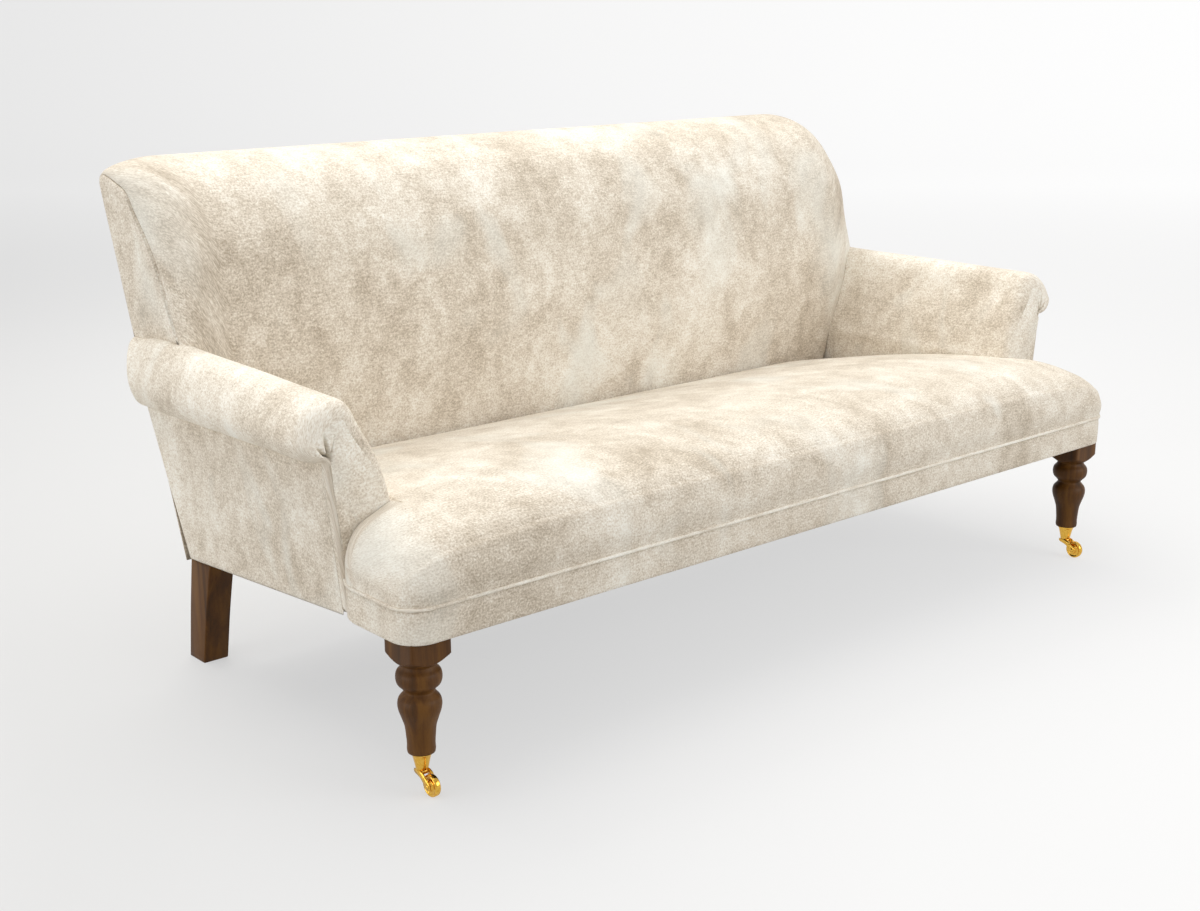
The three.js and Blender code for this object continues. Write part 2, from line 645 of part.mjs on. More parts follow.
function makeArms() {
  const inner = toSolid(armLoft(cloth));
  const under = toSolid(prism(
    "y",
    rectangle(armInnerX + cloth, armPanelFootX - cloth, 0, armUnderZ),
    0,
    pastRearY,
  ));
  const shell = armFull.subtract(inner);
  const undersCut = toSolid(prism(
    "x",
    [
      [0, 0], [pastRearY, 0],
      [pastRearY, sideRailZ(pastRearY) + railH + gap], [0, sideRailZ(0) + railH + gap],
    ],
    armInnerX - overrun,
    armPanelFootX - armStuffing,
  ));
  const rearOpen = toSolid(prism(
    "x",
    leaning((z) => rearInnerY(z) - cloth - gap, () => pastRearY, 0, armTuckZ - armTuckFall + cloth),
    armInnerX - overrun,
    armRollOutX,
  ));
  const cover = mainBody(cut(shell, panelRegion, railWay, under, undersCut, rearOpen, frameSpace));
  addPair("arm_cover", toGeometry(cover), clothPile);
  const panelEndY = (z) => rearInnerY(z) - cloth - gap;
  const corners = [[0, false], [0, true], [cloth - gap, true], [cloth - gap, false]];
  const ringAt = (s) => corners.map(([depth, foot]) => outsidePoint(s, foot, depth, panelEndY));
  const panelRings = panelStations.map(ringAt);
  addPair("arm_outside", loft(panelRings, 0, 2), clothPile);
  const core = toSolid(armLoft(cloth + gap));
  const hollow = toSolid(prism(
    "y",
    [
      [armInnerX + armStuffing, 0], [armInnerX + armStuffing, armRailZ + armRailH / 2],
      [armTuckX - 2 * cloth, armRailZ + armRailH / 2], [armTuckX - cloth, armRailZ - armRailH],
      [armRollOutX, armRailZ - armRailH], [armRollOutX, 0],
    ],
    armFrontY + armFrontStuffing,
    pastRearY,
  ));
  const railPocket = toSolid(prism(
    "y",
    rectangle(armRailInX - gap, armRailOutX + gap, armRailZ - gap, armRailZ + armRailH + gap),
    armFrontY + armFrontStuffing,
    pastRearY,
  ));
  const pad = mainBody(cut(core, hollow, railPocket, railWay, undersCut, frameSpace));
  addPair("arm_pad", toGeometry(pad), wadding);
}

function makeBack() {
  const outer = toSolid(backLoft(0, backFootZ));
  const inner = toSolid(backLoft(cloth, backFootZ - overrun));
  const shell = cut(outer, inner, armSpace, armSpaceLeft, seatSpace);
  const rearRegion = (clear, top) => toSolid(prism(
    "x",
    leaning((z) => rearY(z) - cloth - clear, () => pastRearY, 0, top),
    -armRollOutX,
    armRollOutX,
  ));
  const sideRegion = (clear) => toSolid(prism(
    "x",
    rectangle(0, pastRearY, 0, pastTopZ),
    backHalf - cloth + clear,
    armRollOutX,
  ));
  const sideLeft = toSolid(mirrored(
    prism("x", rectangle(0, pastRearY, 0, pastTopZ), backHalf - cloth, armRollOutX),
  ));
  const cover = mainBody(cut(shell, rearRegion(gap, backKneeZ), sideRegion(0), sideLeft));
  add("back_cover", toGeometry(cover), clothPile);
  const side = mainBody(cut(shell.intersect(sideRegion(gap)), rearRegion(gap, backKneeZ)));
  addPair("back_side", toGeometry(side), clothPile);
  const core = toSolid(backLoft(cloth + gap, backFootZ));
  const pad = mainBody(cut(core, frameSpace, armSpace, armSpaceLeft, seatSpace));
  add("back_pad", toGeometry(pad), wadding);
  const rearFoot = rearRailZ;
  const rearPanel = leaning((z) => rearY(z) - cloth, rearY, rearFoot, backKneeZ - gap);
  add("outside_back", prism("x", rearPanel, -backHalf, backHalf), clothPile);
}

function makeSeatFrame() {
  const frontRail = rectangle(frontRailY, frontRailY + railT, railBaseZ, frontRailTopZ);
  add("front_seat_rail", prism("x", frontRail, -blockInX + gap, blockInX - gap), beech);
  const rearRail = leaning((z) => rearInnerY(z) - railT, rearInnerY, rearRailZ, rearRailTopZ);
  add("rear_seat_rail", prism("x", rearRail, -postInX + gap, postInX - gap), beech);
  const outline = [[blockInX, frontRailY], [blockInX, sideRailStartY - gap]];
  const corner = uOutline(cloth + gap).filter(([x, y]) => x > blockInX && y <= wingRearY - wingRearRun);
  outline.push([seatHalf - cloth - gap - wingRearIn / 2, sideRailStartY - gap], ...corner.reverse());
  addPair("corner_block_front", prism("z", outline, railBaseZ, frontRailTopZ), beech);
  const blockFrontY = rearInnerY(rearRailZ) - rearBlockD;
  const side = [
    [sideRailStartY, sideRailZ(sideRailStartY)], [blockFrontY - gap, sideRailZ(blockFrontY - gap)],
    [blockFrontY - gap, sideRailZ(blockFrontY - gap) + railH],
    [sideRailStartY, sideRailZ(sideRailStartY) + railH],
  ];
  addPair("side_seat_rail", prism("x", side, sideRailInX, sideRailInX + railT), beech);
  const rearBlock = leaning(() => blockFrontY, rearInnerY, rearRailZ, rearRailTopZ);
  addPair("corner_block_rear", prism("x", rearBlock, postInX, postOutX), beech);
  const middle = [
    [frontRailY + railT + gap, railBaseZ], [sideRailStartY, railBaseZ], [rearRailFrontY - gap, rearRailZ],
    [rearRailFrontY - gap, rearRailZ + railH / 2], [frontRailY + railT + gap, railBaseZ + railH / 2],
  ];
  add("seat_centre_rail", prism("x", middle, -railT / 2, railT / 2), beech);
}

function makeBackFrame() {
  const post = leaning(postFrontY, rearInnerY, rearRailTopZ + gap, postTopZ);
  addPair("back_post", prism("x", post, postInX, postOutX), beech);
  const half = postInX - gap;
  const top = leaning(postFrontY, rearInnerY, postTopZ - topRailH, postTopZ);
  add("back_top_rail", prism("x", top, -half, half), beech);
  const lower = leaning(postFrontY, rearInnerY, lowerRailZ, lowerRailZ + lowerRailH);
  add("back_lower_rail", prism("x", lower, -half, half), beech);
  const stile = leaning(postFrontY, rearInnerY, lowerRailZ + lowerRailH + gap, postTopZ - topRailH - gap);
  add("back_centre_post", prism("x", stile, -stileHalf, stileHalf), beech);
}

function makeArmFrame() {
  const postY = armFrontY + armFrontStuffing + gap;
  const topOf = (y) => sideRailZ(y) + railH + gap;
  const post = [
    [postY, topOf(postY)], [postY + armPostW, topOf(postY + armPostW)],
    [postY + armPostW, armRailZ - gap], [postY, armRailZ - gap],
  ];
  addPair("arm_post", prism("x", post, sideRailInX, sideRailInX + railT), beech);
  const railEndY = postFrontY(armRailZ) - gap;
  const narrow = (armTuckX - armInnerX) * armToeInShare;
  const rail = [
    [armRailInX, postY], [armRailOutX, postY], [armRailOutX - narrow, railEndY], [armRailInX, railEndY],
  ];
  addPair("arm_top_rail", prism("z", rail, armRailZ, armRailZ + armRailH), beech);
}

function makeSuspension() {
  const springSpacing = (2 * armInnerX) / springCount;
  const webSpacing = (2 * armInnerX) / webCount;
  const startY = springFrontY - railT * 3 / 4;
  const section = new THREE.Shape();
  section.absarc(0, 0, springWire / 2, 0, 2 * Math.PI);
  for (let i = 0; i < springCount; i += 1) {
    const centre = (i - (springCount - 1) / 2) * springSpacing;
    const points = [];
    const steps = springWaveCount * 6;
    for (let k = 0; k <= steps; k += 1) {
      const y = mix(startY, springRearY, k / steps);
      const swing = springSwing * Math.sin((k / 6) * 2 * Math.PI);
      points.push(new THREE.Vector3(centre + swing, y, springZ(y)));
    }
    const path = new THREE.CatmullRomCurve3(points);
    const options = { steps, curveSegments: 2, bevelEnabled: false, extrudePath: path };
    add("seat_spring_" + (i + 1), new THREE.ExtrudeGeometry(section, options), wire);
  }
  const tieY = (startY + springRearY) / 2;
  const tie = new THREE.CylinderGeometry(tieWire / 2, tieWire / 2, 2 * (sideRailInX - gap), 8);
  tie.rotateZ(Math.PI / 2);
  tie.translate(0, tieY, springZ(tieY) - springWire / 2 - gap - tieWire / 2);
  add("seat_tie_wire", tie, wire);
  for (let i = 0; i < webCount; i += 1) {
    const centre = (i - (webCount - 1) / 2) * webSpacing;
    const strapY = (z) => postFrontY(z) - gap;
    const strap = leaning((z) => strapY(z) - webThick, strapY, lowerRailZ, postTopZ);
    add("back_webbing_" + (i + 1), prism("x", strap, centre - webWidth / 2, centre + webWidth / 2), jute);
  }
  const half = Math.min(blockInX - gap, rearLegX) - gap;
  const level = railBaseZ - gap;
  const rearEnd = rearInnerY(rearRailZ) - gap;
  const rearLevel = rearRailZ - gap;
  const top = [
    [frontRailY, level], [sideRailStartY, level], [rearRailFrontY - gap, rearLevel], [rearEnd, rearLevel],
  ];
  const dust = [...top, ...top.map(([y, z]) => [y, z - dustThick]).reverse()];
  add("dust_cover", prism("x", dust, -half, half), blackCloth);
}

// Front leg: turned shares of radius and height over the foot, between the castor cup and the square block
const legTurnShares = [
  [0.6, 0], [0.62, 0.03], [0.612, 0.09], [0.64, 0.2], [0.69, 0.31], [0.81, 0.405], [0.93, 0.5], [0.955, 0.56],
  [0.9, 0.62], [0.74, 0.67], [0.66, 0.7], [0.74, 0.735], [0.94, 0.79], [1, 0.86], [0.95, 0.925], [0.8, 0.97],
  [0.74, 1],
];

// The lower edge of the block is turned round: radius and height as shares of the block
const blockRoundShares = [[0.6, 0.145], [0.75, 0.29]];

function makeFrontLegs() {
  const neckZ = legBlockZ;
  const turned = legTurnShares.map(([s, h]) => new THREE.Vector2(legTurnR * s, mix(legFootZ, neckZ, h)));
  const blockTop = railBaseZ - gap;
  const profile = [new THREE.Vector2(0, legFootZ), ...turned, new THREE.Vector2(0, neckZ)];
  const lathe = new THREE.LatheGeometry(profile, 24);
  lathe.rotateX(Math.PI / 2);
  const neckR = legTurnR * legTurnShares[legTurnShares.length - 1][0];
  const cutR = legBlock * blockRoundShares[blockRoundShares.length - 1][0];
  const bell = [
    new THREE.Vector2(0, neckZ - gap), new THREE.Vector2(neckR, neckZ - gap),
    ...blockRoundShares.map(([s, h]) => new THREE.Vector2(legBlock * s, neckZ + legBlock * h)),
    new THREE.Vector2(cutR, blockTop + overrun), new THREE.Vector2(0, blockTop + overrun),
  ];
  const round = new THREE.LatheGeometry(bell, 24);
  round.rotateX(Math.PI / 2);
  const half = legBlock / 2;
  const block = toSolid(prism("z", rectangle(-half, half, -half, half), neckZ - gap, blockTop));
  const leg = toGeometry(toSolid(lathe).add(block.intersect(toSolid(round))));
  leg.translate(legX, 0, 0);
  addPair("front_leg", leg, walnut);
}

// The knee of a rear leg: how far forward of the foot, and how high
const sweepShare = 0.4;
const bendShare = 0.45;

function makeRearLegs() {
  const topZ = rearRailZ - gap;
  const rearLegTopY = rearInnerY(rearRailZ) - rearBlockD;
  const rearFootY = rearLegTopY + rearFootBack;
  const footEnd = rearFootY + rearFootD;
  const topEnd = rearLegTopY + rearLegTopD;
  const outline = [
    [rearFootY, 0], [footEnd, 0], [mix(footEnd, topEnd, sweepShare), topZ * bendShare], [topEnd, topZ],
    [rearLegTopY, topZ], [mix(rearFootY, rearLegTopY, sweepShare), topZ * bendShare],
  ];
  addPair("rear_leg", prism("x", outline, rearLegX, rearLegX + rearLegW), walnut);
}

// Castors, as shares: the cup's waist, half of the wheel's section, and the side view of a fork plate
const cupWaistShares = [0.45, 0.5];
const wheelShares = [[0.78, 0.5], [0.86, 0.75], [0.96, 0.7], [1, 0.4]];
const hornFrontShares = [0.85, 1.62];
const hornRearShares = [0.4, 1.3];
const lugShares = [[-0.9, 0.6], [-1, 0], [-0.7, -0.7], [0, -1], [0.9, -0.4]];
const lugRShare = 0.37;
const plateHeelShare = 0.6;

function makeCastors() {
  const boreR = stemR + gap;
  const cupTopZ = legFootZ - gap;
  const waist = [mix(cupFootR, cupTopR, cupWaistShares[0]), mix(cupFootZ, cupTopZ, cupWaistShares[1])];
  const cupProfile = [
    [0, stemTopZ + gap], [boreR, stemTopZ + gap], [boreR, cupFootZ], [cupFootR, cupFootZ],
    waist, [cupTopR, cupTopZ - cloth], [cupTopR, cupTopZ], [0, cupTopZ],
  ];
  const cup = new THREE.LatheGeometry(cupProfile.map(([r, z]) => new THREE.Vector2(r, z)), 24);
  cup.rotateX(Math.PI / 2);
  cup.translate(legX, 0, 0);
  addPair("castor_cup", cup, brass);

  const boss = [[axleR + axleFit, wheelHalf], [hubR, wheelHalf], [hubR + axleFit, wheelHalf / 2]];
  const face = [...boss, ...wheelShares.map(([s, w]) => [wheelR * s, wheelHalf * w])];
  const wheelProfile = [...face.map(([r, z]) => [r, -z]), ...face.reverse(), [axleR + axleFit, -wheelHalf]];
  const wheel = new THREE.LatheGeometry(wheelProfile.map(([r, z]) => new THREE.Vector2(r, z)), 24);
  wheel.rotateZ(Math.PI / 2);
  wheel.translate(legX, -trail, wheelR);
  addPair("castor_wheel", wheel, brass);

  const forkHalf = wheelHalf + plateFit + plateT;
  const axle = new THREE.CylinderGeometry(axleR, axleR, 2 * forkHalf, 16);
  axle.rotateZ(Math.PI / 2);
  axle.translate(legX, -trail, wheelR);
  addPair("castor_axle", axle, brass);

  const crownTopZ = cupFootZ - gap;
  const lugR = wheelR * lugRShare;
  const plateOutline = [
    [cupFootR, crownTopZ], [-cupFootR, crownTopZ],
    [-trail * hornFrontShares[0], wheelR * hornFrontShares[1]],
    ...lugShares.map(([s, h]) => [-trail + lugR * s, wheelR + lugR * h]),
    [-trail * hornRearShares[0], wheelR * hornRearShares[1]],
    [cupFootR * plateHeelShare, crownZ], [cupFootR, crownZ + gap],
  ];
  const hole = new THREE.Path();
  hole.absarc(-trail, wheelR, axleR + axleFit, 0, 2 * Math.PI);
  const plate = (from) => toSolid(prism("x", plateOutline, from, from + plateT, hole));
  const crown = toSolid(prism("z", rectangle(-forkHalf, forkHalf, crownFrontY, cupFootR), crownZ, crownTopZ));
  const pin = new THREE.CylinderGeometry(stemR, stemR, stemTopZ - crownZ, 16);
  pin.rotateX(Math.PI / 2);
  pin.translate(0, 0, (stemTopZ + crownZ) / 2);
  const fork = toGeometry(plate(-forkHalf).add(plate(forkHalf - plateT)).add(crown).add(toSolid(pin)));
  fork.translate(legX, 0, 0);
  addPair("castor_fork", fork, brass);
}

makeSeatFrame();
makeBackFrame();
makeArmFrame();
makeSuspension();
makeSeat();
makeBorder();
makeArms();
makeBack();
makeFrontLegs();
makeRearLegs();
makeCastors();

const noseFrontY = noseY - noseBulgeShare * (seatCrestY - noseY);
sofa.position.y = -(noseFrontY + backFaceY + backDepth) / 2;

export default sofa;
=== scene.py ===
"""English roll arm sofa: upholstered seat, back and arms, turned front legs on brass castors, and swept
rear legs."""
import json
import math

import bmesh
import bpy
from mathutils import Matrix, Vector, noise


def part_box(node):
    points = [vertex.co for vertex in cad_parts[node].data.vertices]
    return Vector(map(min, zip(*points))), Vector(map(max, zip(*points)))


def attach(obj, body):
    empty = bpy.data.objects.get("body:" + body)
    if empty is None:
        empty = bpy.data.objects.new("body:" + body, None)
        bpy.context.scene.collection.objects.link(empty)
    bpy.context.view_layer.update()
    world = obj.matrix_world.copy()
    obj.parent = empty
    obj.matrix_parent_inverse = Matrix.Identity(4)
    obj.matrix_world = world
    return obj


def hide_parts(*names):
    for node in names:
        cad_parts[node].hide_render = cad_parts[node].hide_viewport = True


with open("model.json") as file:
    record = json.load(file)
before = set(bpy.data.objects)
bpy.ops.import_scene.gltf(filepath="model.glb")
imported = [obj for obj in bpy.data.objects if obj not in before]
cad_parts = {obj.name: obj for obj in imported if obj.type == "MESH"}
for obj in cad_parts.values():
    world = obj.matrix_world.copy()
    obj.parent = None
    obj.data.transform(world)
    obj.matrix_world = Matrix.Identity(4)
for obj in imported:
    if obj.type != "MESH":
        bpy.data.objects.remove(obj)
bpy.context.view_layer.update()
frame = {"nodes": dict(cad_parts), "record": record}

# Places in millimetres, as in the solid model: depth from the front leg axes, height from the floor.
# The toe-ins, the slope, the lean and the knee are shares.
MIDDLE_DEPTH = 433.5
GAP = 0.3

# Seat, piping and border
SEAT_HALF = 889
NOSE_Y = -49.4
CORNER_R = 46.8
WING_REAR_Y = 138.7
SEAT_CREST_Y = 104
SEAT_CREST_Z = 435
SEAT_REAR_Y = 636
SEAT_REAR_Z = 355
SEAT_SIDE_DROP = 14
WELT_Z = 310
WELT_R = 2.6
BORDER_FOOT_Z = 255.5
WING_END_RISE = 28
WING_REAR_IN = 15
WING_REAR_RUN = 45

# Arms
ARM_FRONT_Y = 139
ARM_INNER_X = 780
ARM_TUCK_X = 898
ARM_TUCK_Z = 498.2
ARM_TUCK_FALL = 29.6
ARM_ROLL_X = 944
ARM_SHOULDER_Z = 416
ARM_RIDGE_Z = 588.6
ARM_RIDGE_RISE = 8.7
ARM_FOOT_X = 872
ARM_UNDER_Z = 250.5
ARM_UNDER_SLOPE = 0.0925
ARM_TOE_IN = 0.247
ARM_FOOT_TOE_IN = 0.2
ARM_EDGE = 12
ARM_TOP_EDGE = 34

# Back
BACK_HALF = 862
BACK_FACE_Y = 624
BACK_DEPTH = 297
BACK_FOOT_Z = 300
BACK_TOP_Z = 894
KNEE = 0.87
LEAN = 0.355

# Front legs and castors
LEG_X = 840
TRAIL = 24.4
WHEEL_R = 17.7


def at(x, y, z):
    """A place of the solid model in the scene, in metres."""
    return Vector((x, y - MIDDLE_DEPTH, z)) / 1000


def mix(a, b, share):
    return a + (b - a) * share


def clamp(value, low=0.0, high=1.0):
    return min(max(value, low), high)


def smooth(share):
    share = clamp(share)
    return share * share * (3 - 2 * share)


def spread(start, end, count):
    return [mix(start, end, i / (count - 1)) for i in range(count)]


def flowing(points, steps):
    """A smooth curve through the points, with the same number of steps between each two of them."""
    points = [Vector(p) for p in points]
    last = len(points) - 1
    chord = [max((points[i + 1] - points[i]).length, 1e-6) for i in range(last)]

    def heading(i):
        if i in (0, last):
            k = min(i, last - 1)
            return (points[k + 1] - points[k]) / chord[k]
        before, after = chord[i - 1], chord[i]
        from_last = (points[i] - points[i - 1]) / before * after
        return (from_last + (points[i + 1] - points[i]) / after * before) / (before + after)

    curve = []
    for i in range(last):
        a, b, size = points[i], points[i + 1], chord[i]
        ma, mb = heading(i) * size, heading(i + 1) * size
        for k in range(steps):
            t = k / steps
            curve.append(
                a * (2 * t**3 - 3 * t**2 + 1) + ma * (t**3 - 2 * t**2 + t)
                + b * (3 * t**2 - 2 * t**3) + mb * (t**3 - t**2)
            )
    return [*curve, points[last]]


def finished(name, mesh, body="root", slot="pile_cloth", replaces=(), material=None, fill=None):
    """The mesh as a piece of the object, on its body."""
    piece = bpy.data.objects.new(name, mesh)
    bpy.context.scene.collection.objects.link(piece)
    if material:
        mesh.materials.append(material)
    for polygon in mesh.polygons:
        polygon.use_smooth = True
    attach(piece, body)
    if replaces:
        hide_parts(*replaces)
    return piece


def closed(name, form):
    """The form as a mesh, with its faces outwards."""
    bmesh.ops.recalc_face_normals(form, faces=form.faces)
    mesh = bpy.data.meshes.new(name)
    form.to_mesh(mesh)
    form.free()
    return mesh


def skin(name, rings, across=0, front_rings=0):
    """A closed mesh through rings of places. Its UV map, "cloth", is in metres: from ring to ring, measured
    from the middle ring, and round each ring.

    The first rings may lie flat, in front of the piece, where the UV map is the front view."""
    form = bmesh.new()
    layer = form.loops.layers.uv.new("cloth")
    count = len(rings[0])
    verts = [[form.verts.new(at(*p)) for p in ring] for ring in rings]
    girths = []
    for row in verts:
        girth = [0.0]
        for i in range(count):
            girth.append(girth[-1] + (row[(i + 1) % count].co - row[i].co).length)
        girths.append(girth)
    base = front_rings - 1 if front_rings else len(verts) // 2
    runs = [[vert.co[across] for vert in row] for row in verts]
    for way, order in ((1, range(base + 1, len(verts))), (-1, range(base - 1, -1, -1))):
        for r in order:
            row = zip(runs[r - way], verts[r - way], verts[r])
            runs[r] = [run + way * (a.co - b.co).length for run, a, b in row]
    for r in range(len(rings) - 1):
        for i in range(count):
            j = (i + 1) % count
            corners = [(r, i, i), (r, j, i + 1), (r + 1, j, i + 1), (r + 1, i, i)]
            face = form.faces.new([verts[a][b] for a, b, _ in corners])
            for loop, (a, b, place) in zip(face.loops, corners):
                co = verts[a][b].co
                flat = r + 1 < front_rings
                loop[layer].uv = (co.x, co.z) if flat else (runs[a][place % count], girths[a][place])
    for row in (verts[0], verts[-1]):
        face = form.faces.new(row)
        for loop in face.loops:
            loop[layer].uv = (loop.vert.co.x, loop.vert.co.z)
    return closed(name, form)


def flipped(mesh, name):
    """The mirror image of a mesh, with its faces outwards."""
    form = bmesh.new()
    form.from_mesh(mesh)
    for vert in form.verts:
        vert.co.x = -vert.co.x
    return closed(name, form)


def pair(name, mesh, **facts):
    """The right piece and its mirror image, with the names, bodies and nodes of each side."""
    both = []
    for side, shape in (("right", mesh), ("left", flipped(mesh, name + "_left"))):
        own = dict(facts)
        own["replaces"] = [node + "_" + side for node in facts.get("replaces", ())]
        own["body"] = facts["body"] + "_" + side if facts.get("body") else "root"
        both.append(finished(name + "_" + side, shape, **own))
    return both


def subdivide(piece, levels=1):
    rounder = piece.modifiers.new("rounder", "SUBSURF")
    rounder.levels = levels
    rounder.render_levels = levels
    return piece


# Camera at the photo's place: seen from the front left, a little from above
view = bpy.data.cameras.new("camera")
view.lens = 49.911
view.sensor_width = 36
view.clip_end = 200
camera = bpy.data.objects.new("camera", view)
bpy.context.scene.collection.objects.link(camera)
yaw, pitch, roll = math.radians(40.8), math.radians(15.3), math.radians(0.3)
ahead = Vector((math.sin(yaw) * math.cos(pitch), math.cos(yaw) * math.cos(pitch), -math.sin(pitch)))
level = Vector((math.cos(yaw), -math.sin(yaw), 0))
down = ahead.cross(level)
right = level * math.cos(roll) + down * math.sin(roll)
below = down * math.cos(roll) - level * math.sin(roll)
camera.matrix_world = Matrix((
    [right.x, -below.x, -ahead.x, -2.1417],
    [right.y, -below.y, -ahead.y, -2.3576],
    [right.z, -below.z, -ahead.z, 1.1580],
    [0, 0, 0, 1],
))
bpy.context.scene.camera = camera


# Materials
def linear(code):
    """An sRGB hex colour as linear light."""
    parts = [int(code[i:i + 2], 16) / 255 for i in (1, 3, 5)]
    return (*[c / 12.92 if c <= 0.04045 else ((c + 0.055) / 1.055) ** 2.4 for c in parts], 1)


def add_node(tree, kind, inputs=None, **settings):
    """A node with its settings, and its inputs set or linked by name or number."""
    made = tree.nodes.new(kind)
    for key, value in settings.items():
        setattr(made, key, value)
    for key, value in (inputs or {}).items():
        socket = made.inputs[key]
        if isinstance(value, bpy.types.NodeSocket):
            tree.links.new(value, socket)
        else:
            socket.default_value = value
    return made


def new_material(name, values):
    """A material, its node tree, and its shader with the values set by the names of its inputs."""
    made = bpy.data.materials.new(name)
    made.use_nodes = True
    tree = made.node_tree
    tree.nodes.clear()
    shader = add_node(tree, "ShaderNodeBsdfPrincipled", values)
    add_node(tree, "ShaderNodeOutputMaterial", {"Surface": shader.outputs[0]})
    return made, tree, shader


def speckle(tree, place, scale, detail, roughness=0.5, distortion=0.0):
    """Noise at a place, with so many features per metre."""
    made = add_node(
        tree, "ShaderNodeTexNoise",
        {"Vector": place, "Scale": scale, "Detail": detail, "Roughness": roughness, "Distortion": distortion},
    )
    return made.outputs["Fac"]


def dent(tree, shader, height, strength, distance):
    """Gives the shader's surface a height, in shares of a distance in metres."""
    bump = add_node(tree, "ShaderNodeBump", {"Height": height, "Strength": strength, "Distance": distance})
    tree.links.new(bump.outputs[0], shader.inputs["Normal"])


def ramp(tree, value, stops):
    """A colour ramp with its stops: place and colour."""
    made = add_node(tree, "ShaderNodeValToRGB", {"Fac": value})
    band = made.color_ramp
    while len(band.elements) < len(stops):
        band.elements.new(0.5)
    for element, (place, colour) in zip(band.elements, stops):
        element.position = place
        element.color = linear(colour) if isinstance(colour, str) else (colour, colour, colour, 1)
    return made.outputs["Color"]


def brushed_pile(name, offset, pale=0.0):
    """Pile cloth, woven and then brushed: pale stone with soft drifting patches where the pile lies another
    way, some of them painted sheen, cool and nearly white, a speckle of tufts of 2 to 5 mm, faint slubs across,
    and a bright rim where the pile is seen from the side."""
    made, tree, shader = new_material(name, {
        "Roughness": 0.9, "Specular IOR Level": 0.15,
        "Sheen Weight": 0.45, "Sheen Roughness": 0.35, "Sheen Tint": linear("#FFF9EC"),
    })
    uv = add_node(tree, "ShaderNodeUVMap", uv_map="cloth")
    place = add_node(
        tree, "ShaderNodeMapping", {"Vector": uv.outputs[0], "Location": (offset, offset * 0.7, offset)}
    )
    # what each layer adds: scale along and across in features per metre, detail, weight
    layers = [
        ((3.1, 2.4, 1), 1.0, 0.22),  # broad shading of 300 to 400 mm
        ((10.0, 7.5, 1), 3.0, 0.42),  # patches of 60 to 120 mm
        ((34.0, 26.0, 1), 2.0, 0.22),  # smudges of 30 to 40 mm
        ((60.0, 330.0, 1), 2.0, 0.20),  # slubs across the cloth
        ((300.0, 300.0, 1), 2.5, 0.62),  # tufts
    ]
    total = None
    for scale, detail, weight in layers:
        sized = add_node(tree, "ShaderNodeMapping", {"Vector": place.outputs[0], "Scale": scale})
        layer = speckle(tree, sized.outputs[0], 1.0, detail, 0.6, 0.3)
        centred = add_node(tree, "ShaderNodeMath", {0: layer, 1: 0.5}, operation="SUBTRACT")
        # pale makes a copy of the cloth lighter all over: painted light, for parts that should look more
        # brightly lit
        start = total.outputs[0] if total else 0.5 + pale
        total = add_node(
            tree, "ShaderNodeMath", {0: centred.outputs[0], 1: weight, 2: start}, operation="MULTIPLY_ADD"
        )
    colour = ramp(tree, total.outputs[0], [
        (0.32, "#B0A391"), (0.43, "#CBBFAE"), (0.52, "#DED4C5"), (0.61, "#EDE7DB"), (0.74, "#F8F6EF"),
    ])
    # painted sheen: cool, nearly white patches, for the light that the nap gives back where it is turned
    # towards it
    turned = add_node(
        tree, "ShaderNodeMapping",
        {"Vector": place.outputs[0], "Scale": (6.5, 4.0, 1), "Rotation": (0, 0, 0.5)},
    )
    painted_sheen_patch = speckle(tree, turned.outputs[0], 1.0, 2.0, 0.5, 0.6)
    painted_sheen_share = add_node(
        tree, "ShaderNodeMapRange", {"Value": painted_sheen_patch, "From Min": 0.56, "From Max": 0.76, "To Max": 0.55}
    )
    light = add_node(
        tree, "ShaderNodeMix", {"Factor": painted_sheen_share.outputs[0], 6: colour, 7: linear("#EEF0EA")}, data_type="RGBA",
    )
    tree.links.new(light.outputs[2], shader.inputs["Base Color"])
    dent(tree, shader, layer, 0.35, 0.0012)
    return made


def turned_walnut():
    """Walnut, turned and waxed: mid brown with fine darker pores drawn out along the leg, and a satin
    skin."""
    made, tree, shader = new_material("walnut_waxed", {"Roughness": 0.5, "Specular IOR Level": 0.22})
    place = add_node(tree, "ShaderNodeTexCoord")
    grain_place = add_node(
        tree, "ShaderNodeMapping", {"Vector": place.outputs["Object"], "Scale": (1, 1, 0.06)}
    )
    figure = speckle(tree, grain_place.outputs[0], 55.0, 4.0, 0.5, 0.5)
    pores = speckle(tree, grain_place.outputs[0], 900.0, 2.0, 0.6)
    fine = add_node(tree, "ShaderNodeMath", {0: pores, 1: 0.25, 2: figure}, operation="MULTIPLY_ADD")
    colour = ramp(tree, fine.outputs[0], [(0.42, "#3D250B"), (0.6, "#52320F"), (0.8, "#674317")])
    tree.links.new(colour, shader.inputs["Base Color"])
    dent(tree, shader, pores, 0.15, 0.0003)
    return made


def polished_brass():
    """Cast brass, polished and lacquered: warm yellow metal that mirrors the room, with faint polishing
    marks."""
    made, tree, shader = new_material("brass_polished", {"Metallic": 1})
    place = add_node(tree, "ShaderNodeTexCoord")
    marks = speckle(tree, place.outputs["Object"], 260.0, 3.0, 0.6)
    colour = ramp(tree, marks, [(0.3, "#D9A437"), (0.7, "#EFC25C")])
    tree.links.new(colour, shader.inputs["Base Color"])
    rough = ramp(tree, marks, [(0.3, 0.16), (0.7, 0.26)])
    tree.links.new(rough, shader.inputs["Roughness"])
    return made


def planed_beech():
    """Beech, planed and left bare: pale pinkish brown with short darker flecks along the grain."""
    made, tree, shader = new_material("beech_planed", {"Roughness": 0.7})
    place = add_node(tree, "ShaderNodeTexCoord")
    run = add_node(tree, "ShaderNodeMapping", {"Vector": place.outputs["Object"], "Scale": (0.12, 1, 1)})
    figure = speckle(tree, run.outputs[0], 160.0, 4.0)
    colour = ramp(tree, figure, [(0.35, "#B98E62"), (0.65, "#D8B58A")])
    tree.links.new(colour, shader.inputs["Base Color"])
    return made


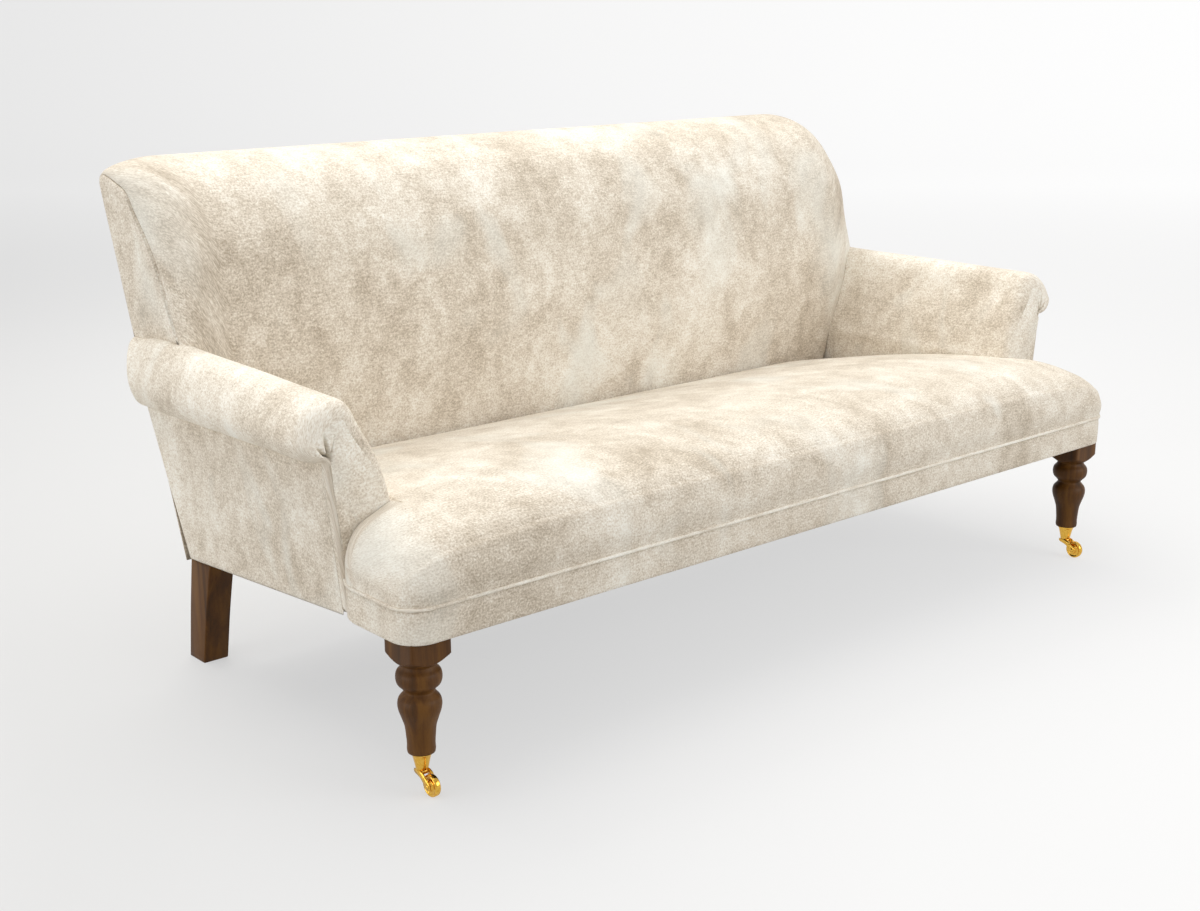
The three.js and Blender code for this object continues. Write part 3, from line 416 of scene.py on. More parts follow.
def drawn_steel():
    """Spring steel wire, drawn and oiled: dark grey metal with a dull shine."""
    made, tree, shader = new_material("steel_wire", {"Metallic": 1, "Roughness": 0.38})
    place = add_node(tree, "ShaderNodeTexCoord")
    scale = speckle(tree, place.outputs["Object"], 320.0, 3.0)
    colour = ramp(tree, scale, [(0.35, "#6F7276"), (0.65, "#9A9DA0")])
    tree.links.new(colour, shader.inputs["Base Color"])
    return made


def plain_weave(name, dark, light, thread, roughness):
    """Plain weave: threads over and under each other, at their real spacing."""
    made, tree, shader = new_material(name, {"Roughness": roughness})
    place = add_node(tree, "ShaderNodeTexCoord")
    # a wave of scale 1 is 0.314 m long
    warp, weft = [
        add_node(
            tree, "ShaderNodeTexWave", {"Vector": place.outputs["Object"], "Scale": 0.314 / thread},
            wave_type="BANDS", bands_direction=way,
        )
        for way in ("X", "Y")
    ]
    cloth = add_node(
        tree, "ShaderNodeMath", {0: warp.outputs["Fac"], 1: weft.outputs["Fac"]}, operation="MULTIPLY"
    )
    colour = ramp(tree, cloth.outputs[0], [(0.1, dark), (0.7, light)])
    tree.links.new(colour, shader.inputs["Base Color"])
    dent(tree, shader, cloth.outputs[0], 0.4, 0.0004)
    return made


seat_cloth = brushed_pile("pile_cloth_seat", 3.1)
back_cloth = brushed_pile("pile_cloth_back", 7.7)
# painted light: the arms and the welt are the same cloth, made paler here so that they look more brightly lit
arm_cloth = brushed_pile("pile_cloth_arms", 12.3, 0.03)
welt_cloth = brushed_pile("pile_cloth_welt", 5.9, 0.1)
walnut = turned_walnut()
brass = polished_brass()
beech = planed_beech()
steel = drawn_steel()
jute = plain_weave("jute_webbing", "#6B4A28", "#A67C4C", 0.002, 0.95)
dust_cloth = plain_weave("dust_cloth", "#151517", "#2A2A2D", 0.0012, 0.95)


# Seat: tight cloth over springs, with wings in front of the arms.
# Side view as shares of run and rise: up the nose to the crest, and down from there to the back
NOSE = [(0, 0), (-0.03, 0.26), (0.015, 0.56), (0.1, 0.72), (0.2, 0.82), (0.46, 0.93), (1, 1)]
RUN = [(0, 0), (0.22, 0.08), (0.5, 0.33), (0.77, 0.66), (1, 1)]
# Front view of a wing: shares of its width, from the arm outwards, and of its rise
WING = [(0, 1), (0.2, 0.98), (0.4, 0.91), (0.57, 0.81), (0.72, 0.69), (0.83, 0.54), (0.92, 0.35),
        (0.98, 0.12), (1, 0)]
SEAT_FOOT_Z = WELT_Z + WELT_R - 0.6
TUCK_RUN, TUCK_DROP = 18, 11
DART_WAYS, DART_DEPTH, DART_RISE = (12, 78), 1.6, 48
CLOTH_SWELL = 1.6


def between(table, place):
    """The value of a table of shares at a place between its rows."""
    (s0, d0), *rest = table
    for s1, d1 in rest:
        if place <= s1:
            return mix(d0, d1, (place - s0) / (s1 - s0))
        s0, d0 = s1, d1
    return d0


def wing_half(y):
    """Half the width of the seat front, which runs in behind, to end flush with the arms."""
    back = clamp((y - WING_REAR_Y + WING_REAR_RUN) / WING_REAR_RUN)
    return SEAT_HALF - WING_REAR_IN * back * back


def wing_end(x):
    """How far back a wing reaches at x."""
    outer = clamp((abs(x) - SEAT_HALF + WING_REAR_IN) / WING_REAR_IN)
    return WING_REAR_Y - WING_REAR_RUN * (1 - math.sqrt(1 - outer))


def seat_ring(x, wing, low=1.0):
    """The seat cut at x: over the nose and the crest and down to the back, or to the rear of a wing. A low
    ring is flattened towards the foot, to close the side of a wing."""
    beyond = max(abs(x) - (SEAT_HALF - CORNER_R), 0)
    front = NOSE_Y + CORNER_R - math.sqrt(max(CORNER_R**2 - beyond**2, 0))
    inner = ARM_INNER_X - GAP
    crest = SEAT_CREST_Z - SEAT_SIDE_DROP * smooth((abs(x) / inner - 0.75) * 4)
    end = wing_end(x) if wing else SEAT_REAR_Y
    top_y = min(SEAT_CREST_Y, end - 1)
    side = [(mix(front, top_y, s), h, 0) for s, h in NOSE]
    for s, _ in RUN[1:]:
        y = mix(top_y, end, s)
        side.append((y, 1, between(RUN, (y - top_y) / (SEAT_REAR_Y - top_y))))
    ring = []
    for y, h, fall in flowing(side, 6):
        share = clamp((abs(x) - inner) / (wing_half(y) - inner))
        rise = mix(WING_END_RISE, crest - SEAT_FOOT_Z, between(WING, share)) * low
        z = SEAT_FOOT_Z + rise * h - (SEAT_CREST_Z - SEAT_REAR_Z) * fall * (1 - share) * low
        if wing:
            z -= 12 * smooth(share * 2) * (1 - share) * clamp((y - top_y) / (end - top_y)) * low
        else:
            # the cloth rolls down where it is tucked in beside the arms and under the back
            edge = min(inner - abs(x), 1000) if y > WING_REAR_Y else 1000
            near = clamp(1 - min(edge, end - y) / TUCK_RUN)
            z -= TUCK_DROP * (1 - math.sqrt(1 - near * near))
        swell = noise.noise(Vector((x * 0.004, y * 0.005, 4.2)))
        # two darts over the piping at each front corner
        around = -90
        if beyond:
            around = math.degrees(math.atan2(NOSE_Y + CORNER_R - y, abs(x) - SEAT_HALF + CORNER_R))
        fade = smooth(1 - (z - SEAT_FOOT_Z) / DART_RISE) * smooth((z - SEAT_FOOT_Z) / 4)
        dart = sum(math.exp(-(((around - way) / 2.2) ** 2)) for way in DART_WAYS) * DART_DEPTH * fade
        sink = dart / CORNER_R
        ring.append((
            x + (SEAT_HALF - CORNER_R - abs(x)) * sink * (1 if x > 0 else -1),
            y + (NOSE_Y + CORNER_R - y) * sink,
            z + CLOTH_SWELL * swell * clamp((z - SEAT_FOOT_Z) / 60),
        ))
    foot = SEAT_FOOT_Z - 4.5
    rear = [(x, end, max(foot + lift * low, ring[0][2])) for lift in (8, 3)]
    under = [(end, foot), (end - 1.5, foot), (mix(front, end, 0.3), foot), (front + 1.8, foot),
             (front + 0.2, foot + 1.2)]
    return [*ring, *rear, *[(x, y, z) for y, z in under]]


inner_x = ARM_INNER_X - GAP
stations = [(x, False) for x in spread(0, inner_x - 40, 26)]
stations += [(inner_x - d, False) for d in (28, 18, 11, 6, 2.5, 0.6, 0)]
corner_x = SEAT_HALF - CORNER_R
stations += [(x, True) for x in spread(inner_x + 0.1, corner_x, 8)]
stations += [(corner_x + CORNER_R * math.sin(math.radians(a)), True) for a in range(8, 89, 8)]
rights = [seat_ring(x, wing) for x, wing in stations]
rights += [seat_ring(SEAT_HALF, True, share) for share in (1, 0.75, 0.45, 0.15, 0.02)]
lefts = [[(-x, y, z) for x, y, z in ring] for ring in rights[:0:-1]]
seat = finished("seat_cushion", skin("seat_cushion", lefts + rights), replaces=("seat_cover", "seat_pad"),
                material=seat_cloth, fill=0.95)
subdivide(seat)


def u_line(distance, steps=10):
    """The front edge in plan, from one arm round both corners to the other, moved inwards by a distance."""
    half, front, radius = SEAT_HALF - distance, NOSE_Y + distance, CORNER_R - distance
    points = [(wing_half(y) - distance, y) for y in spread(WING_REAR_Y, front + radius, 12)[:-1]]
    for i in range(steps + 1):
        turn = i / steps * math.pi / 2
        points.append((half - radius + radius * math.cos(turn), front + radius - radius * math.sin(turn)))
    points += [(x, front) for x in spread(half - radius, 0, 20)[1:]]
    return [(-x, y) for x, y in points[:-1]] + points[::-1]


# Border under the piping: a straight band, wrapped under the rail. Section: distance inwards and drop.
BAND = [(2.2, 0), (0.4, 0), (-0.5, -14), (-0.6, -32), (0, -47), (0.4, -52.6), (1.3, -53.7), (3, -53.9),
        (9, -53.9), (9, -53), (6, -52.8), (3.6, -51), (2.4, -44)]
BAND_TOP_Z = WELT_Z - WELT_R + 0.6
lines = [u_line(distance) for distance, _ in BAND]
rings = [[(*place, BAND_TOP_Z + drop) for place, (_, drop) in zip(places, BAND)] for places in zip(*lines)]
band = finished("border_band", skin("border_band", rings), replaces=("front_border",), material=seat_cloth)


def swept(name, line, radius, material):
    """A round cord along a line of places, swept by a node tree."""
    path = bpy.data.meshes.new(name)
    path.from_pydata([at(*p) for p in line], [(i, i + 1) for i in range(len(line) - 1)], [])
    source = bpy.data.objects.new(name, path)
    bpy.context.scene.collection.objects.link(source)
    tree = bpy.data.node_groups.new(name + "_sweep", "GeometryNodeTree")
    tree.interface.new_socket("Geometry", in_out="INPUT", socket_type="NodeSocketGeometry")
    size = tree.interface.new_socket("Cord radius", in_out="INPUT", socket_type="NodeSocketFloat")
    look = tree.interface.new_socket("Cloth", in_out="INPUT", socket_type="NodeSocketMaterial")
    tree.interface.new_socket("Geometry", in_out="OUTPUT", socket_type="NodeSocketGeometry")
    start = add_node(tree, "NodeGroupInput")
    curve = add_node(tree, "GeometryNodeMeshToCurve", {"Mesh": start.outputs["Geometry"]})
    section = add_node(
        tree, "GeometryNodeCurvePrimitiveCircle", {"Resolution": 12, "Radius": start.outputs["Cord radius"]}
    )
    cord = add_node(
        tree, "GeometryNodeCurveToMesh",
        {"Curve": curve.outputs[0], "Profile Curve": section.outputs[0], "Fill Caps": True},
    )
    real = add_node(tree, "GeometryNodeRealizeInstances", {"Geometry": cord.outputs[0]})
    clad = add_node(
        tree, "GeometryNodeSetMaterial", {"Geometry": real.outputs[0], "Material": start.outputs["Cloth"]}
    )
    add_node(tree, "NodeGroupOutput", {"Geometry": clad.outputs[0]})
    maker = source.modifiers.new("sweep", "NODES")
    maker.node_group = tree
    maker[size.identifier] = radius / 1000
    maker[look.identifier] = material
    return source


def baked(source):
    """The result of a node tree as a plain mesh."""
    graph = bpy.context.evaluated_depsgraph_get()
    mesh = bpy.data.meshes.new_from_object(source.evaluated_get(graph))
    bpy.data.objects.remove(source)
    return mesh


welt_line = [(x, y, WELT_Z) for x, y in u_line(2.2 - WELT_R, 14)]
piping = baked(swept("seat_welt_line", welt_line, WELT_R + 0.3, welt_cloth))
piping.name = "seat_welt"
layer = piping.uv_layers.new(name="cloth")
for loop in piping.loops:
    co = piping.vertices[loop.vertex_index].co
    layer.data[loop.index].uv = (co.x + co.y, co.z * 3)
finished("seat_welt", piping, replaces=("seat_piping",))


# Arms: a padded box that turns into an open roll, with the cloth pleated at the front.
# Front view: shares of the width, of the height from shoulder to tuck, and of how far the edge has grown round
ARM_FACE = [(0, 0, 0), (0.012, 0.06, 0.02), (0.05, 0.4, 0.1), (0.118, 0.88, 0.3)]
# The same from the tuck over the ridge and back under the roll
ROLL = [(0.18, 0.12, 0.4), (0.243, 0.34, 0.55), (0.31, 0.577, 0.65), (0.372, 0.82, 0.7), (0.445, 0.955, 0.75),
        (0.54, 1, 0.85), (0.66, 0.99, 0.95), (0.77, 0.925, 1), (0.865, 0.8, 1), (0.945, 0.62, 0.9),
        (0.99, 0.45, 0.75), (1, 0.33, 0.55), (0.97, 0.18, 0.35), (0.9, 0.055, 0.15), (0.8, 0, 0)]
KNEE_Z = mix(BACK_FOOT_Z, BACK_TOP_Z, KNEE)


def rear_y(z):
    return BACK_FACE_Y + BACK_DEPTH - 10.1 - LEAN * (KNEE_Z - z)


def rear_inner_y(z):
    return rear_y(z) - 2.5


def under_z(y):
    return ARM_UNDER_Z - ARM_UNDER_SLOPE * (y - ARM_FRONT_Y)


def arm_outline(reach):
    """The front view of an arm at a share of its length: inner face, roll, tuck and outside. The third number
    of each point says how far the round edge of the front has grown there."""
    narrow = 1 - ARM_TOE_IN * reach
    close = clamp((reach - 0.8) / 0.2)
    opened = max(math.sqrt(1 - close * close), 0.73)
    tuck_x = ARM_INNER_X + (ARM_TUCK_X - ARM_INNER_X) * narrow
    tuck_z, ridge_z = ARM_TUCK_Z - ARM_TUCK_FALL * reach, ARM_RIDGE_Z + ARM_RIDGE_RISE * reach
    width = (ARM_ROLL_X - ARM_INNER_X) * narrow
    points = [(ARM_INNER_X, z, 0) for z in (ARM_UNDER_Z, 300, 350, 390)]
    points += [(ARM_INNER_X + width * s, mix(ARM_SHOULDER_Z, tuck_z, h), grown) for s, h, grown in ARM_FACE]
    for s, h, grown in ROLL:
        wide = ARM_INNER_X + width * s
        x = mix(tuck_x, wide, opened) if wide > tuck_x else wide
        points.append((x, mix(tuck_z, ridge_z, h * (1 - 0.3 * (1 - opened))), grown))
    foot_x = ARM_INNER_X + (ARM_FOOT_X - ARM_INNER_X) * (1 - ARM_FOOT_TOE_IN * reach)
    outline = flowing([*points, (tuck_x, tuck_z, 0)], 5)
    for s in spread(0, 1, 13)[1:]:
        outline.append((mix(tuck_x, foot_x, s), mix(tuck_z, ARM_UNDER_Z, s), -smooth(s * 8) * 0.2))
    return [tuple(p) for p in outline] + [(mix(foot_x, ARM_INNER_X, s), ARM_UNDER_Z, 0) for s in (0.3, 0.7)]


def inset(outline, distance):
    """A closed outline moved inwards, by one distance or by one for each point."""
    moved = []
    count = len(outline)
    for i, (a, b, *_) in enumerate(outline):
        before, after = Vector(outline[i - 1][:2]), Vector(outline[(i + 1) % count][:2])
        run = (after - before).normalized()
        far = distance[i] if isinstance(distance, list) else distance
        moved.append((a + run.y * far, b - run.x * far))
    return moved


def shrunk(line, far):
    """A closed outline moved inwards, whichever way it turns."""
    area = sum(a[0] * b[1] - b[0] * a[1] for a, b in zip(line, line[1:] + line[:1]))
    return inset(line, -far if area > 0 else far)


# Pleats at the front of the roll, from the place where they meet: direction in degrees from straight out,
# length, half width and depth
PLEAT_X, PLEAT_Z = 891, 502
PLEATS = [(78, 44, 2.5, 23), (46, 34, 2.5, 20), (104, 38, 1.4, 7), (132, 28, 1.2, 2), (20, 22, 1.0, 3),
          (254, 22, 1.1, 4)]


def front_cap(share, edge):
    """A ring on the front of an arm, on its way to the place where the pleats meet."""
    ring = []
    for x, edge_y, z in edge:
        px, pz = mix(PLEAT_X, x, share), mix(PLEAT_Z, z, share)
        off = Vector((px - PLEAT_X, pz - PLEAT_Z))
        far = off.length
        y = mix(ARM_FRONT_Y, edge_y, share**6) - 2.6 * (1 - share**3) * smooth((pz - 440) / 60)
        for way, size, width, depth in PLEATS:
            turn = math.radians(way)
            along = off.x * math.cos(turn) + off.y * math.sin(turn)
            if 0 < along < size:
                miss = (off.y * math.cos(turn) - off.x * math.sin(turn)) / (width * (1 - 0.5 * along / size))
                y += depth * math.exp(-miss * miss) * (1 - along / size) * smooth(along / 2.5)
        y += 7 * math.exp(-((far / 4.5) ** 2))
        ring.append((px, y, pz))
    return ring


def arm_ring(reach, edge=1.0):
    """A ring of an arm at a share of its length, or at a share of the round front edge. Its foot follows the
    slope under the arm, and at the rear it ends on the slope of the back."""
    outline = arm_outline(reach)
    radii = [mix(ARM_EDGE, ARM_TOP_EDGE, grown) for _, _, grown in outline]
    left = 1 - math.sin(edge * math.pi / 2)
    moved = inset(outline, [r * left for r in radii]) if edge < 1 else outline
    wall = len(outline) - 14  # the outside of the arm starts here
    ring = []
    for i, ((x, z, *_), r) in enumerate(zip(moved, radii)):
        start_y = ARM_FRONT_Y + r * (1 - math.cos(edge * math.pi / 2))
        y = mix(start_y, rear_inner_y(z), reach)
        if edge == 0 and wall <= i < len(outline) - 2:
            y += 1.5 * smooth((i - wall + 1) / 3)  # the seam between the front and the outside of the arm
        if z <= ARM_UNDER_Z + 13:
            over = max(z - ARM_UNDER_Z, 0)
            for _ in range(4):  # height and depth of the foot depend on each other
                z = min(under_z(y), BORDER_FOOT_Z) + over
                y = mix(start_y, rear_inner_y(z), reach) if reach else y
        ring.append((x, y, z))
    return ring


CAP_SHARES = (0.008, 0.02, 0.035, 0.055, 0.08, 0.105, 0.135, 0.17, 0.21, 0.26, 0.32, 0.4, 0.5, 0.62, 0.74, 0.85,
              0.93, 0.975, 0.99)
EDGE_SHARES = (0, 0.03, 0.1, 0.22, 0.36, 0.5, 0.64, 0.8, 1)
ARM_SHARES = (0.02, 0.06, 0.12, 0.2, 0.28, 0.36, 0.44, 0.52, 0.6, 0.68, 0.75, 0.8, 0.84, 0.88, 0.91, 0.94,
              0.965, 0.985, 1)
edge_line = arm_ring(0, 0)
rings = [front_cap(s, edge_line) for s in CAP_SHARES]
cap_count = len(rings) + 1
rings += [arm_ring(0, s) for s in EDGE_SHARES] + [arm_ring(s) for s in ARM_SHARES]
for far in (1.5, 6):
    rings.append([(x, rear_inner_y(z), z) for x, z in shrunk([(x, z) for x, _, z in arm_ring(1)], far)])
for ring in rings:
    for i, (x, y, z) in enumerate(ring):
        if y > ARM_FRONT_Y + 40 and z > ARM_SHOULDER_Z:
            swell = noise.noise(Vector((x * 0.01, y * 0.006, z * 0.01)))
            ring[i] = (x, y, z + 1.2 * swell)
arms = pair("arm", skin("arm", rings, across=1, front_rings=cap_count), replaces=("arm_cover", "arm_pad"),
            material=arm_cloth, fill=0.95)
for arm in arms:
    subdivide(arm)


# Outside of each arm: a flat panel of cloth over wadding, sewn along its edges
PANEL_START_Y = ARM_FRONT_Y + ARM_EDGE + 0.6
PANEL_SHARES = (0, 0.004, 0.012, 0.04, 0.12, 0.25, 0.4, 0.55, 0.7, 0.85, 0.95, 0.988, 0.996, 1)
REAR_FOOT_Z = 199.6
TUCK_SLOPE = ARM_TUCK_FALL / (rear_inner_y(ARM_TUCK_Z - ARM_TUCK_FALL) - PANEL_START_Y)


def outside_ring(along):
    """A ring of an outside panel, from foot to tuck and back, at a share of its length."""
    ring = []
    for share in (0, 0.012, 0.05, 0.15, 0.3, 0.45, 0.6, 0.75, 0.88, 0.96, 0.99, 1):
        y = mix(PANEL_START_Y, rear_inner_y(mix(REAR_FOOT_Z, ARM_TUCK_Z - ARM_TUCK_FALL, share)) - 3, along)
        tuck, foot = ARM_TUCK_Z - TUCK_SLOPE * (y - PANEL_START_Y), min(under_z(y), BORDER_FOOT_Z)
        z = mix(foot, tuck - 2.5, share)
        reach = (y - PANEL_START_Y) / (rear_inner_y(z) - PANEL_START_Y)
        foot_out = (ARM_FOOT_X - ARM_INNER_X) * (1 - ARM_FOOT_TOE_IN * reach)
        head_out = (ARM_TUCK_X - ARM_INNER_X) * (1 - ARM_TOE_IN * reach)
        x = ARM_INNER_X + mix(foot_out, head_out, (z - foot) / (tuck - foot))
        near = clamp(min(share, 1 - share, (1 - along) * 2) * 35)
        ring.append((x + 0.3 + 2 * math.sqrt(1 - (1 - near) ** 2) * smooth(along * 6), y, z))
    return ring + [(x - 3, y, z) for x, y, z in ring[::-3]]


panel = skin("arm_outside", [outside_ring(s) for s in PANEL_SHARES], across=1)
pair("arm_outside_panel", panel, replaces=("arm_outside",), material=arm_cloth, fill=0.9)


# Back: tight cloth over the inside back and the soft top, with flat ends.
# Side view in the middle and at the ends: shares of the depth and of the height, over the top to the knee
BACK = [(0.054, 0), (0.049, 0.074), (0, 0.375), (0.003, 0.497), (0.034, 0.633), (0.074, 0.764), (0.172, 0.845),
        (0.327, 0.929), (0.502, 0.975), (0.694, 1), (0.86, 1), (0.965, 0.98), (1, 0.945), (1, KNEE)]
BACK_END = [(0.12, 0), (0.12, 0.074), (0.07, 0.375), (0.104, 0.497), (0.209, 0.606), (0.3, 0.699),
            (0.431, 0.788), (0.566, 0.862), (0.643, 0.909), (0.781, 0.936), (0.879, 0.949), (0.946, 0.953),
            (0.99, 0.94), (1, KNEE)]
END_START_X = 778


def arm_top_z(x, y):
    """Height of an arm's top at a place in plan."""
    reach = clamp((y - ARM_FRONT_Y - ARM_TOP_EDGE) / (rear_inner_y(560) - ARM_FRONT_Y - ARM_TOP_EDGE))
    outline = arm_outline(reach)[:-15]
    best = 0
    for (a, za, _), (b, zb, _) in zip(outline, outline[1:]):
        if min(a, b) <= abs(x) <= max(a, b) and a != b:
            best = max(best, mix(za, zb, (abs(x) - a) / (b - a)))
    return best


def back_outline(x):
    """The side view of the back at x, from the foot of its face over the top to the foot of its rear."""
    turn = clamp((abs(x) - END_START_X) / (BACK_HALF - END_START_X))
    around = 1 - math.sqrt(max(1 - turn * turn, 0))
    side = []
    for i, ((s, h), (end_s, end_h)) in enumerate(zip(BACK, BACK_END)):
        z = mix(BACK_FOOT_Z, BACK_TOP_Z, mix(h, end_h, around))
        y = rear_y(z) if i == len(BACK) - 1 else BACK_FACE_Y + BACK_DEPTH * mix(s, end_s, around)
        side.append((y, z))
    line = [(p[0], p[1]) for p in flowing(side, 5)]
    return line + [(rear_y(z), z) for z in (KNEE_Z - 60, 640, 540, 440, 350, BACK_FOOT_Z)]


def over_arm(line, x, deep):
    """A line of the back that ends on the arm, a little below its top, with the same number of points."""
    def bed(y):
        return arm_top_z(max(abs(x), ARM_INNER_X + 1), y) - deep

    top = [bed(y) for y, _ in line]
    kept = [i for i, (_, z) in enumerate(line) if z > top[i]]
    first, last = kept[0], kept[-1]
    ends = []
    for i, k in ((first, first - 1), (last, last + 1)):
        (y0, z0), (y1, z1) = line[i], line[k]
        ends.append(mix(y0, y1, clamp((z0 - top[i]) / max(z0 - z1, 0.01))))
    after = len(line) - last - 1
    shares = [(1 - math.cos(s * math.pi)) / 2 for s in spread(0, 1, after + first)]
    foot = [(y, bed(y)) for y in [mix(ends[1], ends[0], s) for s in shares]]
    return foot[after:] + line[first:last + 1] + foot[:after]


def towards(line, share):
    """A closed outline drawn in towards its middle."""
    middle = [sum(p[k] for p in line) / len(line) for k in (0, 1)]
    return [(mix(middle[0], a, share), mix(middle[1], b, share)) for a, b in line]


def back_ring(x):
    """A ring of the back at x, which ends on the arm where there is one."""
    line = back_outline(x)
    if abs(x) > ARM_INNER_X - 1:
        line = over_arm(line, x, 5)
    ring = []
    for y, z in line:
        swell = noise.noise(Vector((x * 0.004, z * 0.005, 9.1))) * clamp((z - BACK_FOOT_Z) / 60)
        ring.append((x, y - 1.6 * swell, z))
    return ring


stations = [*spread(0, END_START_X, 28), 788, 800, 811, 821, 830, 838, 845, 851, 855.5, 858.5, 860.5, 861.5]
rights = [back_ring(x) for x in [*stations, BACK_HALF]]
last = [(y, z) for _, y, z in rights[-1]]
# the end is closed a little further in, behind the end panel
for far, s in ((0, 0.993), (3, 0.985), (3.2, 0.95), (3.2, 0.7), (3.2, 0.4)):
    rights.append([(BACK_HALF - far, y, z) for y, z in towards(last, s)])
lefts = [[(-x, y, z) for x, y, z in ring] for ring in rights[:0:-1]]
back = finished("inside_back", skin("inside_back", lefts + rights), replaces=("back_cover", "back_pad"),
                material=back_cloth, fill=0.95)
subdivide(back)

end_line = over_arm(back_outline(BACK_HALF), BACK_HALF, 3)
rings = [[(BACK_HALF + x, y, z) for y, z in shrunk(end_line, far)]
         for x, far in ((-4, 3), (-0.6, 2.6), (0.7, 3.1), (1.5, 5))]
rings += [[(BACK_HALF + x, y, z) for y, z in towards(end_line, s)] for x, s in ((2.5, 0.93), (2.7, 0.8))]
panel = skin("back_end", rings)
for loop, data in zip(panel.loops, panel.uv_layers["cloth"].data):
    co = panel.vertices[loop.vertex_index].co
    data.uv = (co.y, co.z)
pair("back_end_panel", panel, replaces=("back_side",), material=back_cloth, fill=0.9)

# Rear of the back: a flat panel of cloth over wadding
REAR_HALF, REAR_RISE = BACK_HALF - 1, 610
REAR_SHARES = (0, 0.006, 0.014, 0.04, 0.15, 0.3, 0.5, 0.7, 0.85, 0.96, 0.986, 0.994, 1)
rings = []
for x in [*spread(-REAR_HALF, 7 - REAR_HALF, 4), *spread(-820, 820, 24), *spread(REAR_HALF - 7, REAR_HALF, 4)]:
    ring = []
    for share in REAR_SHARES:
        z = mix(REAR_FOOT_Z - 1, KNEE_Z - 1, share)
        near = min(REAR_HALF - abs(x), share * REAR_RISE, (1 - share) * REAR_RISE)
        ring.append((x, rear_y(z) + 2.5 * math.sqrt(clamp(1 - (1 - clamp(near / 7)) ** 2)) - 1.2, z))
    rings.append(ring + [(x, y - 2, z) for _, y, z in ring[::-4]])
panel = skin("outside_back", rings)
finished("outside_back_panel", panel, replaces=("outside_back",), material=back_cloth, fill=0.9)


# Legs
def turning(name, profile, segments=64, centre=(0, 0)):
    """A turned piece: a profile of radius and height round an upright axis, closed on the axis."""
    form = bmesh.new()
    cx, cy = centre
    turns = [2 * math.pi * i / segments for i in range(segments)]
    rows = []
    for r, z in profile:
        around = [(cx + r * math.cos(t), cy + r * math.sin(t)) for t in turns] if r >= 0.01 else [centre]
        rows.append([form.verts.new(at(x, y, z)) for x, y in around])
    for a, b in zip(rows, rows[1:]):
        for i in range(segments):
            j = (i + 1) % segments
            corners = [a[i % len(a)], a[j % len(a)], b[j % len(b)], b[i % len(b)]]
            form.faces.new(list(dict.fromkeys(corners)))
    return closed(name, form)


# Side view of the turned part: shares of the radius and of the height, from the castor to the neck
TURNED = [(0.6, 0), (0.62, 0.03), (0.612, 0.09), (0.64, 0.2), (0.69, 0.31), (0.81, 0.405), (0.93, 0.5),
          (0.955, 0.56), (0.9, 0.62), (0.74, 0.67), (0.66, 0.7), (0.74, 0.735), (0.94, 0.79), (1, 0.86),
          (0.95, 0.925), (0.8, 0.97), (0.74, 1)]
LEG_R, LEG_FOOT_Z, NECK_Z, BLOCK = 35.4, 66.3, 208, 72.4


def front_leg():
    """A turned leg with a square block on top, from rings that are cut off by the four sides of the block."""
    profile = [(LEG_R * s, mix(LEG_FOOT_Z, NECK_Z, h)) for s, h in TURNED]
    curve = [(p[0], p[1]) for p in flowing(profile, 5)]
    # the lower corners of the block are turned off to a cone
    curve += [(mix(LEG_R * 0.74, BLOCK * 0.72, s), NECK_Z + mix(0.3, 19.5, s)) for s in spread(0, 1, 14)]
    curve += [(BLOCK * 0.75, z) for z in (229, 240, 250, 254.4)]
    curve.append((BLOCK * 0.74, 255.1))
    rings = []
    for r, z in curve:
        ring = []
        for i in range(96):
            turn = 2 * math.pi * i / 96
            c, s = abs(math.cos(turn)), abs(math.sin(turn))
            square = BLOCK / 2 / (c**26 + s**26) ** (1 / 26)
            reach = min(r, square)
            ring.append((LEG_X + reach * math.cos(turn), reach * math.sin(turn), z))
        rings.append(ring)
    return skin("front_leg", rings)


pair("turned_leg", front_leg(), replaces=("front_leg",), slot="walnut_legs", material=walnut)


def rounded(x0, x1, y0, y1, z, r=2.5):
    """A level ring with four rounded corners."""
    ring = []
    right, left, rear, front = x1 - r, x0 + r, y1 - r, y0 + r
    for cx, cy, start in ((right, rear, 0), (left, rear, 90), (left, front, 180), (right, front, 270)):
        for k in range(4):
            turn = math.radians(start + 30 * k)
            ring.append((cx + r * math.cos(turn), cy + r * math.sin(turn), z))
    return ring


low, high = [corner * 1000 for corner in map(Vector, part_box("rear_leg_right"))]
FOOT_FRONT, FOOT_REAR, TOP_FRONT, TOP_REAR = 678.3, 732.3, 630.3, 699.3
front_line, rear_line = [
    flowing([(foot, 1.2), (mix(foot, top, 0.4), high.z * 0.45), (top, high.z)], 9)
    for foot, top in ((FOOT_FRONT, TOP_FRONT), (FOOT_REAR, TOP_REAR))
]
rings = [rounded(low.x + 1, high.x - 1, FOOT_FRONT + 1, FOOT_REAR - 1, 0)]
rings += [rounded(low.x, high.x, a[0], b[0], a[1]) for a, b in zip(front_line, rear_line)]
pair("swept_leg", skin("rear_leg", rings), replaces=("rear_leg",), slot="walnut_legs", material=walnut)


# Castors: profiles are radius and height, or radius and place along the axle
def on_axle(mesh, z=WHEEL_R):
    """A piece turned about the axle instead of an upright axis, in its place."""
    for vert in mesh.vertices:
        x, y, h = vert.co.x, vert.co.y + MIDDLE_DEPTH / 1000, vert.co.z
        vert.co = Vector((LEG_X / 1000 + h, (-TRAIL - MIDDLE_DEPTH) / 1000 + y, z / 1000 + x))
    mesh.flip_normals()
    return mesh


